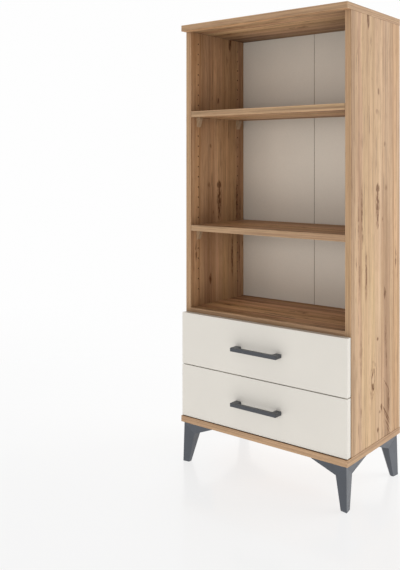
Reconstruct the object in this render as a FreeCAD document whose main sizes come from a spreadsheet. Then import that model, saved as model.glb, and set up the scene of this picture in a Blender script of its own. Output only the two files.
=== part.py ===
"""Bookcase with two bottom drawers, on four moulded corner legs.

Millimetres, +Z up. The origin lies on the floor under the middle of the whole
object, handles included. The drawers open towards -Y, and left and right are
seen from the front.
"""
import FreeCAD, Part
import os
import re
from collections import defaultdict

import Sketcher

# Every size that can be set by itself, in millimetres, and a few counts.
SIZES = {
    # Carcass boards
    "panel_width": 570.0,
    "panel_depth": 328.0,
    "board_thickness": 18.0,
    "side_inset": 1.0,
    "side_setback": 23.0,
    "side_height": 1188.0,
    "drawer_bay": 315.0,
    # Back panel in two halves, its grooves and the tape behind its seam
    "back_thickness": 3.0,
    "back_recess": 21.0,
    "groove_depth": 7.0,
    "groove_play": 0.1,
    "edge_play": 0.5,
    "seam_offset": 9.0,
    "seam_width": 1.2,
    "tape_width": 40.0,
    "tape_thickness": 0.4,
    # Shelves, pin holes and shelf supports
    "shelf_side_play": 1.0,
    "shelf_back_play": 0.8,
    "pin_diameter": 5.0,
    "pin_depth": 10.0,
    "pin_pitch": 32.0,
    "pin_count": 25,
    "pin_first": 52.5,
    "pin_setback": 37.0,
    "pin_row_gap": 210.0,
    "upper_shelf_pin": 16,
    "lower_shelf_pin": 5,
    "support_height": 25.5,
    "support_width": 16.0,
    "support_reach": 12.0,
    "support_lip": 6.0,
    "support_foot": 4.0,
    "support_toe": 3.0,
    "peg_length": 9.0,
    # Fixings of the carcass
    "hole_play": 0.15,
    "tip_play": 0.5,
    "dowel_diameter": 8.0,
    "dowel_length": 30.0,
    "dowel_bite": 11.0,
    "dowel_setback": 40.0,
    "deck_dowel_setback": 90.0,
    "screw_head_diameter": 10.0,
    "screw_head_height": 3.0,
    "screw_neck_diameter": 7.0,
    "screw_core_diameter": 5.0,
    "screw_length": 50.0,
    "screw_setback": 100.0,
    "cam_diameter": 15.0,
    "cam_depth": 13.5,
    "cam_axis": 9.0,
    "cam_inset": 24.0,
    "deck_cam_setback": 50.0,
    "bolt_head_diameter": 6.5,
    "bolt_head_length": 3.0,
    "bolt_diameter": 5.5,
    "bolt_core_diameter": 5.0,
    "bolt_bite": 11.0,
    # Corner legs
    "leg_height": 122.0,
    "leg_inset": 7.0,
    "foot_inset": 4.5,
    "foot_width": 20.0,
    "foot_depth": 24.0,
    "foot_return": 15.0,
    "knee_height": 88.0,
    "knee_width": 35.5,
    "knee_depth": 44.5,
    "knee_return": 36.0,
    "knee_recess": 6.5,
    "ridge_width": 2.0,
    "wing_width": 107.0,
    "wing_depth": 125.0,
    "wing_return": 8.0,
    "wing_lip": 4.0,
    "leg_screw_diameter": 4.0,
    "leg_screw_bite": 10.0,
    "leg_screw_head": 8.0,
    "leg_screw_head_height": 2.5,
    "leg_screw_access": 9.0,
    "leg_screw_corner": 50.0,
    "leg_screw_far": 72.0,
    "leg_screw_near": 30.0,
    # Drawer fronts and handles
    "front_thickness": 18.0,
    "front_end_play": 1.0,
    "front_seat_gap": 2.0,
    "front_rise": 2.5,
    "front_gap": 3.0,
    "front_lap": 4.5,
    "handle_length": 157.0,
    "handle_height": 10.5,
    "handle_reach": 30.0,
    "handle_post": 18.5,
    "handle_bar": 12.0,
    "handle_round": 0.8,
    "handle_inner_round": 4.0,
    "handle_screw_diameter": 4.0,
    "handle_screw_bite": 9.0,
    "handle_screw_head": 8.0,
    "handle_screw_head_height": 2.2,
    # Drawer boxes
    "box_rise": 16.0,
    "box_height": 110.0,
    "box_board": 15.0,
    "bottom_rise": 10.0,
    "bottom_thickness": 3.0,
    "box_screw_head": 7.0,
    "box_screw_head_height": 2.5,
    "box_screw_diameter": 4.0,
    "box_screw_length": 38.0,
    "box_screw_inset": 14.0,
    # Telescopic slides
    "slide_width": 12.7,
    "slide_height": 45.0,
    "rail_setback": 2.0,
    "rail_rear_room": 29.0,
    "rail_sheet": 1.2,
    "rail_play": 0.4,
    "flange_short": 1.7,
    "running_play": 0.3,
    "ball_diameter": 4.2,
    "ball_pitch": 16.0,
    "cage_sheet": 1.0,
    "cage_rim": 0.6,
    "rail_screw_diameter": 3.5,
    "rail_screw_bite": 11.0,
    "rail_screw_head": 7.0,
    "rail_screw_head_height": 1.4,
    "rail_screw_inset": 35.0,
}

# Places and sizes that follow from those above.
PLACES = {
    "handle_overhang": "handle_reach + front_seat_gap + front_thickness - side_setback",
    "panel_front": "(handle_overhang - panel_depth) / 2",
    "panel_rear": "(handle_overhang + panel_depth) / 2",
    "side_front": "panel_front + side_setback",
    "back_face": "panel_rear - back_recess - back_thickness",
    "outer_half": "panel_width / 2 - side_inset",
    "inner_half": "outer_half - board_thickness",
    "side_middle": "outer_half - board_thickness / 2",
    "base_top": "leg_height + board_thickness",
    "top_under": "base_top + side_height",
    "top_face": "top_under + board_thickness",
    "deck_under": "base_top + drawer_bay",
    "deck_top": "deck_under + board_thickness",
    "first_pin": "deck_top + pin_first",
    "front_row": "side_front + pin_setback",
    "front_back": "side_front - front_seat_gap",
    "front_face": "front_back - front_thickness",
    "front_height": "(drawer_bay + front_lap - front_rise - front_gap) / 2",
    "lower_front_under": "base_top + front_rise",
    "upper_front_under": "lower_front_under + front_height + front_gap",
    "lower_box_under": "lower_front_under + box_rise",
    "upper_box_under": "upper_front_under + box_rise",
    "box_outer": "inner_half - slide_width",
    "box_inner": "box_outer - box_board",
    "rail_front": "side_front + rail_setback",
    "rail_length": "back_face - rail_rear_room - rail_front",
    "rail_rear": "rail_front + rail_length",
    "rail_middle": "rail_front + rail_length / 2",
    "ball_race": "ball_diameter + 2 * running_play",
    "outer_rise": "slide_height / 2",
    "middle_rise": "outer_rise - rail_sheet - ball_race",
    "inner_rise": "middle_rise - rail_sheet - ball_race",
    "flange_tip": "slide_width - flange_short",
    "middle_back": "rail_sheet + rail_screw_head_height + rail_play",
    "inner_tip": "middle_back + rail_sheet + rail_play",
}

SIDES = {"left": -1, "right": 1}
DRAWERS = ("upper", "lower")
BALLS_PER_STRIP = 4
AXES = {
    "+x": FreeCAD.Rotation(FreeCAD.Vector(0, 1, 0), 90),
    "-x": FreeCAD.Rotation(FreeCAD.Vector(0, 1, 0), -90),
    "+y": FreeCAD.Rotation(FreeCAD.Vector(1, 0, 0), -90),
    "-y": FreeCAD.Rotation(FreeCAD.Vector(1, 0, 0), 90),
    "+z": FreeCAD.Rotation(),
    "-z": FreeCAD.Rotation(FreeCAD.Vector(1, 0, 0), 180),
}
WORD = re.compile(r"[a-z][a-z_]*")

doc = FreeCAD.newDocument("Bookcase")
bores = defaultdict(list)
pieces = []


def make_sheet():
    """Writes the driving sizes into the document's sheet."""
    sheet = doc.addObject("Spreadsheet::Sheet", "Sizes")
    for row, (alias, size) in enumerate(SIZES.items(), start=1):
        sheet.set(f"A{row}", alias)
        sheet.set(f"B{row}", str(size))
        sheet.setAlias(f"B{row}", alias)
    doc.recompute()


def formula(text):
    """Writes a sum of named sizes and places in the sheet's terms."""
    def cell(match):
        word = match.group()
        return f"Sizes.{word}" if word in SIZES else f"({formula(PLACES[word])})"
    return WORD.sub(cell, text)


def place(thing, at):
    """Ties an object's position to three formulas."""
    for axis, text in zip("xyz", at):
        thing.setExpression(f"Placement.Base.{axis}", formula(text))


def keep(thing, name):
    """Names an object as a finished piece."""
    thing.Label = name
    pieces.append(thing)
    return thing


def across(sign, near, far):
    """Range of X between two distances from the middle, on one side."""
    return (near, far) if sign > 0 else (f"-({far})", f"-({near})")


def aside(sign, distance):
    """X at a distance from the middle, on one side."""
    return distance if sign > 0 else f"-({distance})"


def outward(sign):
    """Direction away from the middle, on one side."""
    return "+x" if sign > 0 else "-x"


def inward(sign):
    """Direction towards the middle, on one side."""
    return outward(-sign)


def block(name, x, y, z):
    """Rectangular piece between two ends along each axis."""
    box = doc.addObject("Part::Box", name)
    for size, (start, end) in zip(("Length", "Width", "Height"), (x, y, z)):
        box.setExpression(size, formula(f"({end}) - ({start})"))
    place(box, (x[0], y[0], z[0]))
    return box


def rod(name, at, axis, diameter, length):
    """Round pin from a point along an axis."""
    pin = doc.addObject("Part::Cylinder", name)
    pin.Placement.Rotation = AXES[axis]
    pin.setExpression("Radius", formula(f"({diameter}) / 2"))
    pin.setExpression("Height", formula(length))
    place(pin, at)
    return pin


def along(at, axis, distance):
    """Point moved along an axis."""
    moved = list(at)
    index = "xyz".index(axis[1])
    moved[index] = f"({at[index]}) {axis[0]} ({distance})"
    return moved


def fused(name, things):
    """One solid from several that touch or overlap."""
    joined = doc.addObject("Part::MultiFuse", name)
    joined.Shapes = things
    return joined


def group(name, things):
    """Like pieces that stay separate solids in one node."""
    together = doc.addObject("Part::Compound", name)
    together.Links = things
    return together


def cut(name, base, tools):
    """Takes the tools away from a piece and keeps the result."""
    tool = tools[0] if len(tools) == 1 else fused(f"{name}_tools", tools)
    result = doc.addObject("Part::Cut", name)
    result.Base = base
    result.Tool = tool
    return keep(result, name)


def fastener(name, at, axis, steps, boards):
    """Stepped pin, and its bore with play in each piece that it passes.

    Each step is a diameter and a length, in order along the axis.
    """
    pins = []
    holes = []
    reach = "0"
    for index, (diameter, length) in enumerate(steps):
        start = along(at, axis, reach)
        depth = length if index < len(steps) - 1 else f"{length} + tip_play"
        pins.append(rod(f"{name}_step_{index}", start, axis, diameter, length))
        holes.append(rod(f"{name}_bore_{index}", start, axis, f"{diameter} + 2 * hole_play", depth))
        reach = f"{reach} + {length}"
    for board in boards:
        bores[board].extend(holes)
    return pins[0] if len(pins) == 1 else fused(name, pins)


def sketch_on(body, name, role, lift="0"):
    """Empty sketch on one of a body's own planes, lifted off it."""
    plane = next(feature for feature in body.Origin.OriginFeatures if feature.Role == role)
    sketch = body.newObject("Sketcher::SketchObject", name)
    sketch.AttachmentSupport = [(plane, "")]
    sketch.MapMode = "FlatFace"
    sketch.setExpression("AttachmentOffset.Base.z", formula(lift))
    return sketch


def hold(sketch, kind, text, *ends):
    """Adds a dimension that follows a formula."""
    index = sketch.addConstraint(Sketcher.Constraint(kind, *ends, 1.0))
    sketch.setExpression(f"Constraints[{index}]", formula(text))


def draw_outline(sketch, corners):
    """Closed outline, each corner held from the sketch's origin."""
    count = len(corners)
    turn = FreeCAD.Rotation(FreeCAD.Vector(0, 0, 1), 360 / count)
    starts = [FreeCAD.Vector(1, 0, 0)]
    for _ in range(count):
        starts.append(turn.multVec(starts[-1]))
    for index in range(count):
        sketch.addGeometry(Part.LineSegment(starts[index], starts[index + 1]))
    for index, (first, second) in enumerate(corners):
        sketch.addConstraint(Sketcher.Constraint("Coincident", index, 1, (index - 1) % count, 2))
        hold(sketch, "DistanceX", first, -1, 1, index, 1)
        hold(sketch, "DistanceY", second, -1, 1, index, 1)


def draw_circles(sketch, centres, diameter):
    """Circles of one diameter, each centre held from the sketch's origin."""
    for index, (first, second) in enumerate(centres):
        start = FreeCAD.Vector(index, 0, 0)
        sketch.addGeometry(Part.Circle(start, FreeCAD.Vector(0, 0, 1), 1))
        hold(sketch, "DistanceX", first, -1, 1, index, 3)
        hold(sketch, "DistanceY", second, -1, 1, index, 3)
        hold(sketch, "Diameter", diameter, index)


def pad(body, name, sketch, length, reverse=False):
    """Pads a sketch along its normal, or against it."""
    feature = body.newObject("PartDesign::Pad", name)
    feature.Profile = sketch
    feature.Reversed = reverse
    feature.setExpression("Length", formula(length))
    return feature


def pocket(body, name, sketch, depth, reverse=False):
    """Cuts a sketch into the body against its normal, or along it."""
    feature = body.newObject("PartDesign::Pocket", name)
    feature.Profile = sketch
    feature.Reversed = reverse
    feature.setExpression("Length", formula(depth))
    return feature


def prism(name, role, corners, length, reverse=False, lift="0"):
    """Body of one outline, padded from one of its planes."""
    body = doc.addObject("PartDesign::Body", f"{name}_body")
    sketch = sketch_on(body, f"{name}_outline", role, lift)
    draw_outline(sketch, corners)
    pad(body, f"{name}_pad", sketch, length, reverse)
    return body


def slot(name, x, y, z, board):
    """Groove or recess that is cut from a board."""
    bores[board].append(block(name, x, y, z))


def make_dowels():
    """Dowels between the sides and the top, base and deck."""
    dowels = []
    step = [("dowel_diameter", "dowel_length")]
    ends = {
        "base_panel": ("base_top - dowel_bite", "+z"),
        "top_panel": ("top_under + dowel_bite", "-z"),
    }
    rows = ("side_front + dowel_setback", "panel_rear - dowel_setback")
    deck_rows = ("side_front + deck_dowel_setback", "back_face - deck_dowel_setback")
    for side, sign in SIDES.items():
        panel = f"{side}_side_panel"
        for board, (level, axis) in ends.items():
            for index, row in enumerate(rows):
                at = (aside(sign, "side_middle"), row, level)
                dowels.append(fastener(f"{side}_{board}_dowel_{index}", at, axis, step, (board, panel)))
        for index, row in enumerate(deck_rows):
            at = (aside(sign, "inner_half + dowel_bite"), row, "deck_under + board_thickness / 2")
            name = f"{side}_deck_dowel_{index}"
            dowels.append(fastener(name, at, inward(sign), step, ("drawer_deck", panel)))
    keep(group("carcass_dowels", dowels), "carcass_dowels")


def make_carcass_screws():
    """Long fixing screws through the top and base into the ends of the sides."""
    screws = []
    steps = [
        ("screw_head_diameter", "screw_head_height"),
        ("screw_neck_diameter", "board_thickness - screw_head_height"),
        ("screw_core_diameter", "screw_length - board_thickness"),
    ]
    ends = {"base_panel": ("leg_height", "+z"), "top_panel": ("top_face", "-z")}
    rows = ("side_front + screw_setback", "panel_rear - screw_setback")
    for side, sign in SIDES.items():
        for board, (level, axis) in ends.items():
            for index, row in enumerate(rows):
                at = (aside(sign, "side_middle"), row, level)
                name = f"{side}_{board}_screw_{index}"
                screws.append(fastener(name, at, axis, steps, (board, f"{side}_side_panel")))
    keep(group("carcass_screws", screws), "carcass_screws")


def make_cams(name, seats):
    """Cam locks and their bolts.

    Each seat gives the middle of a cam's open face, the cam's direction into its
    board, the bolt's direction, the board with the cam and the board with the bolt.
    """
    cams = []
    bolts = []
    locks = f"{name}_cam_locks"
    steps = [
        ("bolt_head_diameter", "bolt_head_length"),
        ("bolt_diameter", "cam_inset - bolt_head_length"),
        ("bolt_core_diameter", "bolt_bite"),
    ]
    for index, (at, cam_axis, bolt_axis, cam_board, bolt_board) in enumerate(seats):
        cams.append(rod(f"{name}_cam_{index}", at, cam_axis, "cam_diameter - 2 * hole_play",
                        "cam_depth - hole_play"))
        bores[cam_board].append(rod(f"{name}_cam_seat_{index}", at, cam_axis, "cam_diameter", "cam_depth"))
        heart = along(at, cam_axis, "cam_axis")
        bolts.append(fastener(f"{name}_bolt_{index}", heart, bolt_axis, steps,
                              (locks, cam_board, bolt_board)))
    cut(locks, group(f"{name}_cams", cams), bores[locks])
    keep(group(f"{name}_cam_bolts", bolts), f"{name}_cam_bolts")


def make_deck_cams():
    """Cam locks in the underside of the deck, with their bolts in the sides."""
    seats = []
    rows = ("side_front + deck_cam_setback", "back_face - deck_cam_setback")
    for side, sign in SIDES.items():
        for row in rows:
            at = (aside(sign, "inner_half - cam_inset"), row, "deck_under")
            seats.append((at, "+z", outward(sign), "drawer_deck", f"{side}_side_panel"))
    make_cams("deck", seats)


def make_legs():
    """Corner legs in a left and a right form, their screws and the holes for these in the base.

    The post's outer faces fall back from its corner to the knees. The wings start at the
    knees and reach out to the edges of a flat plate under the base panel, so each outer
    side has a crease from the knee up to the corner.
    """
    inset_rate = "(leg_inset - foot_inset) / leg_height"
    slant = "(wing_width - wing_return) / (wing_depth - wing_return)"
    foot_share = "foot_width / knee_width"
    side_share = "foot_depth / knee_depth"
    top_share = "ridge_width / knee_width"
    shoulder = "leg_height - wing_lip"
    # Height, width, depth and return of each outline, how far its corner, its front
    # end and its side end lie behind the outer faces.
    levels = {
        "foot": ("0", "foot_width", "foot_depth", "foot_return",
                 "0", f"knee_recess * {foot_share}", f"knee_recess * {side_share}"),
        "knee": ("knee_height", "knee_width", "knee_depth", "knee_return",
                 "0", "knee_recess", "knee_recess"),
        "ridge": (shoulder, "ridge_width", f"knee_depth * {top_share}", f"knee_return * {top_share}",
                  "0", f"knee_recess * {top_share}", f"knee_recess * {top_share}"),
        "root": ("knee_height", "knee_width", "knee_depth", "knee_return",
                 "knee_recess", "knee_recess", "knee_recess"),
        "shoulder": (shoulder, "wing_width", "wing_depth", "wing_return", "0", "0", "0"),
    }
    corners = {
        "front_left": ("-panel_width / 2", "panel_front", 0),
        "front_right": ("panel_width / 2", "panel_front", 90),
        "back_right": ("panel_width / 2", "panel_rear", 180),
        "back_left": ("-panel_width / 2", "panel_rear", 270),
    }
    spots = (
        ("leg_screw_corner", "leg_screw_corner"),
        ("leg_screw_far", "leg_screw_near"),
        ("leg_screw_near", "leg_screw_far"),
    )
    steps = [
        ("leg_screw_head", "leg_screw_head_height"),
        ("leg_screw_diameter", "wing_lip + leg_screw_bite"),
    ]
    screws = []
    for corner, (x, y, angle) in corners.items():
        name = f"leg_{corner}"
        body = doc.addObject("PartDesign::Body", f"{name}_body")
        sections = {}
        for level, (lift, width, depth, back, *recesses) in levels.items():
            edge = f"foot_inset + {inset_rate} * ({lift})"
            heel, front, side = (f"{edge} + {recess}" for recess in recesses)
            far = f"{edge} + {width}"
            deep = f"{edge} + {depth}"
            inner = f"{far} - {slant} * ({depth} - {back})"
            outline = ((heel, heel), (far, front), (far, f"{edge} + {back}"), (inner, deep), (side, deep))
            if angle % 180:
                outline = tuple((second, first) for first, second in outline)
            sections[level] = sketch_on(body, f"{name}_{level}", "XY_Plane", lift)
            draw_outline(sections[level], outline)
        for part, (lower, upper) in {
            "post": ("foot", "knee"),
            "rise": ("knee", "ridge"),
            "wings": ("root", "shoulder"),
        }.items():
            loft = body.newObject("PartDesign::AdditiveLoft", f"{name}_{part}")
            loft.Profile = sections[lower]
            loft.Sections = [sections[upper]]
            loft.Ruled = True
        pad(body, f"{name}_plate", sections["shoulder"], "wing_lip")
        body.Placement.Rotation = FreeCAD.Rotation(FreeCAD.Vector(0, 0, 1), angle)
        place(body, (x, y, "0"))
        to_middle = "+" if x.startswith("-") else "-"
        to_inside = "+" if y == "panel_front" else "-"
        for index, (first, second) in enumerate(spots):
            spot = (f"{x} {to_middle} {first}", f"{y} {to_inside} {second}")
            head = (*spot, "leg_height - wing_lip - leg_screw_head_height")
            screws.append(fastener(f"{name}_screw_{index}", head, "+z", steps, (name, "base_panel")))
            bores[name].append(rod(f"{name}_access_{index}", (*spot, "0"), "+z", "leg_screw_access",
                                   "leg_height - wing_lip"))
        cut(name, body, bores[name])
    keep(group("leg_screws", screws), "leg_screws")


def make_rail(name, sign, at, back, web, tip, rise):
    """Rail of C section: back and inside of its web, and tip and half height of its flanges.

    The first three are distances from the side panel's inner face.
    """
    inside = f"{rise} - rail_sheet"
    section = (
        (back, f"-({rise})"), (tip, f"-({rise})"), (tip, f"-({inside})"), (web, f"-({inside})"),
        (web, inside), (tip, inside), (tip, rise), (back, rise),
    )
    corners = [(aside(-sign, distance), height) for distance, height in section]
    body = prism(name, "XZ_Plane", corners, "rail_length", reverse=True)
    place(body, at)
    return body


def make_slides():
    """Telescopic slides of both drawers, with their screws and ball cages."""
    members = {
        "cabinet_rail": ("0", "rail_sheet", "flange_tip", "outer_rise"),
        "middle_rail": ("middle_back", "middle_back + rail_sheet", "flange_tip", "middle_rise"),
        "drawer_rail": ("slide_width", "slide_width - rail_sheet", "inner_tip", "inner_rise"),
    }
    cabinet_screws = []
    steps = [
        ("rail_screw_head", "rail_screw_head_height"),
        ("rail_screw_diameter", "rail_sheet + rail_screw_bite"),
    ]
    rows = ("rail_front + rail_screw_inset", "rail_rear - rail_screw_inset")
    head_rise = "rail_sheet + rail_screw_head_height"
    for drawer in DRAWERS:
        level = f"{drawer}_box_under + box_height / 2"
        drawer_screws = []
        for side, sign in SIDES.items():
            at = (aside(sign, "inner_half"), "rail_front", level)
            names = {member: f"{drawer}_{side}_{member}" for member in members}
            for index, row in enumerate(rows):
                cabinet_head = (aside(sign, f"inner_half - ({head_rise})"), row, level)
                drawer_head = (aside(sign, f"box_outer + {head_rise}"), row, level)
                cabinet_screws.append(fastener(f"{names['cabinet_rail']}_screw_{index}", cabinet_head,
                                               outward(sign), steps,
                                               (names["cabinet_rail"], f"{side}_side_panel")))
                drawer_screws.append(fastener(f"{names['drawer_rail']}_screw_{index}", drawer_head,
                                              inward(sign), steps,
                                              (names["drawer_rail"], f"{drawer}_drawer_{side}_side")))
            for member, section in members.items():
                rail = make_rail(names[member], sign, at, *section)
                if bores[names[member]]:
                    cut(names[member], rail, bores[names[member]])
                else:
                    keep(rail, names[member])
        keep(group(f"{drawer}_drawer_rail_screws", drawer_screws), f"{drawer}_drawer_rail_screws")
        make_ball_cages(drawer, level)
    keep(group("cabinet_rail_screws", cabinet_screws), "cabinet_rail_screws")


def make_ball_cages(drawer, level):
    """Strips with balls that run between the flanges of neighbouring rails."""
    races = {
        "outer": ("(middle_back + flange_tip) / 2", "middle_rise + ball_race / 2"),
        "inner": ("(inner_tip + flange_tip) / 2", "inner_rise + ball_race / 2"),
    }
    half_width = "ball_diameter / 2 + cage_rim"
    half_length = f"{BALLS_PER_STRIP} * ball_pitch / 2"
    for race, (depth, rise) in races.items():
        name = f"{drawer}_{race}_ball_cages"
        strips = []
        balls = []
        holes = []
        for side, sign in SIDES.items():
            middle = f"inner_half - {depth}"
            for direction in ("+", "-"):
                height = f"{level} {direction} ({rise})"
                label = f"{name}_{side}_{'top' if direction == '+' else 'bottom'}"
                strips.append(block(f"{label}_strip",
                                    across(sign, f"{middle} - ({half_width})", f"{middle} + {half_width}"),
                                    (f"rail_middle - {half_length}", f"rail_middle + {half_length}"),
                                    (f"{height} - cage_sheet / 2", f"{height} + cage_sheet / 2")))
                for index in range(BALLS_PER_STRIP):
                    row = f"rail_middle - {half_length} + {index} * ball_pitch + ball_pitch / 2"
                    at = (aside(sign, middle), row, height)
                    ball = doc.addObject("Part::Sphere", f"{label}_ball_{index}")
                    ball.setExpression("Radius", formula("ball_diameter / 2"))
                    place(ball, at)
                    balls.append(ball)
                    holes.append(rod(f"{label}_hole_{index}", along(at, "-z", "cage_sheet"), "+z",
                                     "ball_diameter + 2 * hole_play", "2 * cage_sheet"))
        plates = doc.addObject("Part::Cut", f"{name}_plates")
        plates.Base = group(f"{name}_strips", strips)
        plates.Tool = group(f"{name}_holes", holes)
        keep(group(name, [plates, *balls]), name)


def is_inner_corner(edge):
    """True for the two upright edges where a handle's posts meet its bar."""
    first, last = edge.Vertexes[0].Point, edge.Vertexes[-1].Point
    reach = SIZES["handle_reach"]
    return first.x == last.x and first.y == last.y and 0 < -first.y < reach


def is_off_the_front(edge):
    """True for the edges of a handle that don't lie on the drawer front."""
    return min(vertex.Y for vertex in edge.Vertexes) < -SIZES["handle_round"]


def round_edges(body, name, radius, wanted):
    """Rounds those edges of a body that a test picks."""
    doc.recompute()
    solid = body.Tip
    edges = [f"Edge{index}" for index, edge in enumerate(solid.Shape.Edges, start=1) if wanted(edge)]
    rounding = body.newObject("PartDesign::Fillet", name)
    rounding.Base = (solid, edges)
    rounding.setExpression("Radius", formula(radius))


def make_handle(drawer):
    """Square-bar handle on two posts, in the middle of the drawer's front."""
    name = f"{drawer}_handle"
    end = "handle_length / 2"
    inner = "handle_length / 2 - handle_post"
    gap = "handle_reach - handle_bar"
    outline = (
        (f"-({end})", "0"), (f"-({end})", "-handle_reach"), (end, "-handle_reach"), (end, "0"),
        (inner, "0"), (inner, f"-({gap})"), (f"-({inner})", f"-({gap})"), (f"-({inner})", "0"),
    )
    body = prism(name, "XY_Plane", outline, "handle_height")
    round_edges(body, f"{name}_inner_rounding", "handle_inner_round", is_inner_corner)
    round_edges(body, f"{name}_rounding", "handle_round", is_off_the_front)
    place(body, ("0", "front_face", f"{drawer}_front_under + (front_height - handle_height) / 2"))
    screws = []
    steps = [
        ("handle_screw_head", "handle_screw_head_height"),
        ("handle_screw_diameter", "front_thickness + handle_screw_bite"),
    ]
    for side, sign in SIDES.items():
        at = (aside(sign, "(handle_length - handle_post) / 2"), "front_back + handle_screw_head_height",
              f"{drawer}_front_under + front_height / 2")
        screws.append(fastener(f"{name}_{side}_screw", at, "-y", steps, (name, f"{drawer}_drawer_front")))
    keep(group(f"{name}_screws", screws), f"{name}_screws")
    cut(name, body, bores[name])


def make_drawer(drawer):
    """Front, sides, back and bottom of one drawer, with their fixings."""
    name = f"{drawer}_drawer"
    under = f"{drawer}_box_under"
    upper = f"{under} + box_height"
    floor = f"{under} + bottom_rise"
    floor_top = f"{floor} + bottom_thickness"
    groove = (f"{floor} - groove_play", f"{floor_top} + groove_play")
    bottom_half = "box_inner + groove_depth"
    seats = []
    screws = []
    screw_steps = [
        ("box_screw_head", "box_screw_head_height"),
        ("box_screw_diameter", "box_screw_length - box_screw_head_height"),
    ]
    for side, sign in SIDES.items():
        board = f"{name}_{side}_side"
        slot(f"{board}_groove", across(sign, "box_inner", bottom_half), ("front_back", "rail_rear"),
             groove, board)
        for share in ("1/4", "3/4"):
            at = (aside(sign, "box_inner"), "front_back + cam_inset", f"{under} + box_height * {share}")
            seats.append((at, outward(sign), "-y", board, f"{name}_front"))
        for index, level in enumerate((f"{floor_top} + box_screw_inset", f"{upper} - box_screw_inset")):
            at = (aside(sign, "box_outer"), "rail_rear - box_board / 2", level)
            screws.append(fastener(f"{board}_screw_{index}", at, inward(sign), screw_steps,
                                   (board, f"{name}_back")))
    make_cams(name, seats)
    keep(group(f"{name}_back_screws", screws), f"{name}_back_screws")
    slot(f"{name}_front_groove", (f"-({bottom_half})", bottom_half),
         ("front_back - groove_depth", "front_back"), groove, f"{name}_front")
    front_half = "outer_half - front_end_play"
    front = block(f"{name}_front_blank", (f"-({front_half})", front_half), ("front_face", "front_back"),
                  (f"{drawer}_front_under", f"{drawer}_front_under + front_height"))
    cut(f"{name}_front", front, bores[f"{name}_front"])
    for side, sign in SIDES.items():
        board = f"{name}_{side}_side"
        blank = block(f"{board}_blank", across(sign, "box_inner", "box_outer"), ("front_back", "rail_rear"),
                      (under, upper))
        cut(board, blank, bores[board])
    back = block(f"{name}_back_blank", ("-box_inner", "box_inner"), ("rail_rear - box_board", "rail_rear"),
                 (floor_top, upper))
    cut(f"{name}_back", back, bores[f"{name}_back"])
    sheet_half = f"{bottom_half} - edge_play"
    bottom = block(f"{name}_sheet", (f"-({sheet_half})", sheet_half),
                   ("front_back - groove_depth + edge_play", "rail_rear"), (floor, floor_top))
    keep(bottom, f"{name}_bottom")


def make_back():
    """Back panel in two halves in grooves of the carcass, taped behind the seam."""
    groove_y = ("back_face - groove_play", "back_face + back_thickness + groove_play")
    edge = "inner_half + groove_depth"
    floor = "base_top - groove_depth"
    ceiling = "top_under + groove_depth"
    slot("base_groove", (f"-({edge})", edge), groove_y, (floor, "base_top"), "base_panel")
    slot("top_groove", (f"-({edge})", edge), groove_y, ("top_under", ceiling), "top_panel")
    for side, sign in SIDES.items():
        slot(f"{side}_groove", across(sign, "inner_half", edge), groove_y, ("base_top", "top_under"),
             f"{side}_side_panel")
    sheet_y = ("back_face", "back_face + back_thickness")
    sheet_z = (f"{floor} + edge_play", f"{ceiling} - edge_play")
    halves = {
        "left": (f"-({edge} - edge_play)", "seam_offset - seam_width / 2"),
        "right": ("seam_offset + seam_width / 2", f"{edge} - edge_play"),
    }
    for side, sheet_x in halves.items():
        keep(block(f"{side}_back_sheet", sheet_x, sheet_y, sheet_z), f"back_panel_{side}")
    tape_x = ("seam_offset - tape_width / 2", "seam_offset + tape_width / 2")
    tape_y = (sheet_y[1], f"{sheet_y[1]} + tape_thickness")
    keep(block("seam_tape", tape_x, tape_y, ("base_top", "top_under")), "back_seam_tape")


def make_side(side, sign):
    """Side panel with two rows of pin holes, grooved and bored for its fixings."""
    name = f"{side}_side_panel"
    outline = (("side_front", "base_top"), ("panel_rear", "base_top"),
               ("panel_rear", "top_under"), ("side_front", "top_under"))
    lift = "inner_half" if sign > 0 else "-outer_half"
    body = prism(name, "YZ_Plane", outline, "board_thickness", lift=lift)
    sketch = sketch_on(body, f"{name}_pin_pair", "YZ_Plane", aside(sign, "inner_half"))
    draw_circles(sketch, (("front_row", "first_pin"), ("front_row + pin_row_gap", "first_pin")),
                 "pin_diameter")
    pair = pocket(body, f"{name}_pin_holes", sketch, "pin_depth", reverse=sign > 0)
    doc.recompute()
    upright = next(feature for feature in body.Origin.OriginFeatures if feature.Role == "Z_Axis")
    rows = body.newObject("PartDesign::LinearPattern", f"{name}_pin_rows")
    rows.Originals = [pair]
    rows.Direction = (upright, [""])
    rows.setExpression("Length", formula("(pin_count - 1) * pin_pitch"))
    rows.setExpression("Occurrences", formula("pin_count"))
    body.Tip = rows
    cut(name, body, bores[name])


def make_boards():
    """Top, base, sides and deck, cut for everything that enters them."""
    width = ("-panel_width / 2", "panel_width / 2")
    depth = ("panel_front", "panel_rear")
    levels = {"base_panel": ("leg_height", "base_top"), "top_panel": ("top_under", "top_face")}
    for name, level in levels.items():
        cut(name, block(f"{name}_blank", width, depth, level), bores[name])
    for side, sign in SIDES.items():
        make_side(side, sign)
    deck = block("deck_blank", ("-inner_half", "inner_half"), ("side_front", "back_face"),
                 ("deck_under", "deck_top"))
    cut("drawer_deck", deck, bores["drawer_deck"])


def make_support(name, at, angle):
    """Wedge-shaped shelf support with a peg for a pin hole."""
    toe = "-support_foot"
    wedge = (("0", toe), ("support_toe", toe), ("support_reach", "support_height - support_lip"),
             ("support_reach", "support_height"), ("0", "support_height"))
    body = prism(name, "XZ_Plane", wedge, "support_width", lift="-support_width / 2")
    sketch = sketch_on(body, f"{name}_peg_circle", "YZ_Plane")
    draw_circles(sketch, (("0", "0"),), "pin_diameter - 2 * hole_play")
    pad(body, f"{name}_peg", sketch, "peg_length", reverse=True)
    body.Placement.Rotation = FreeCAD.Rotation(FreeCAD.Vector(0, 0, 1), angle)
    place(body, at)
    return body


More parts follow.
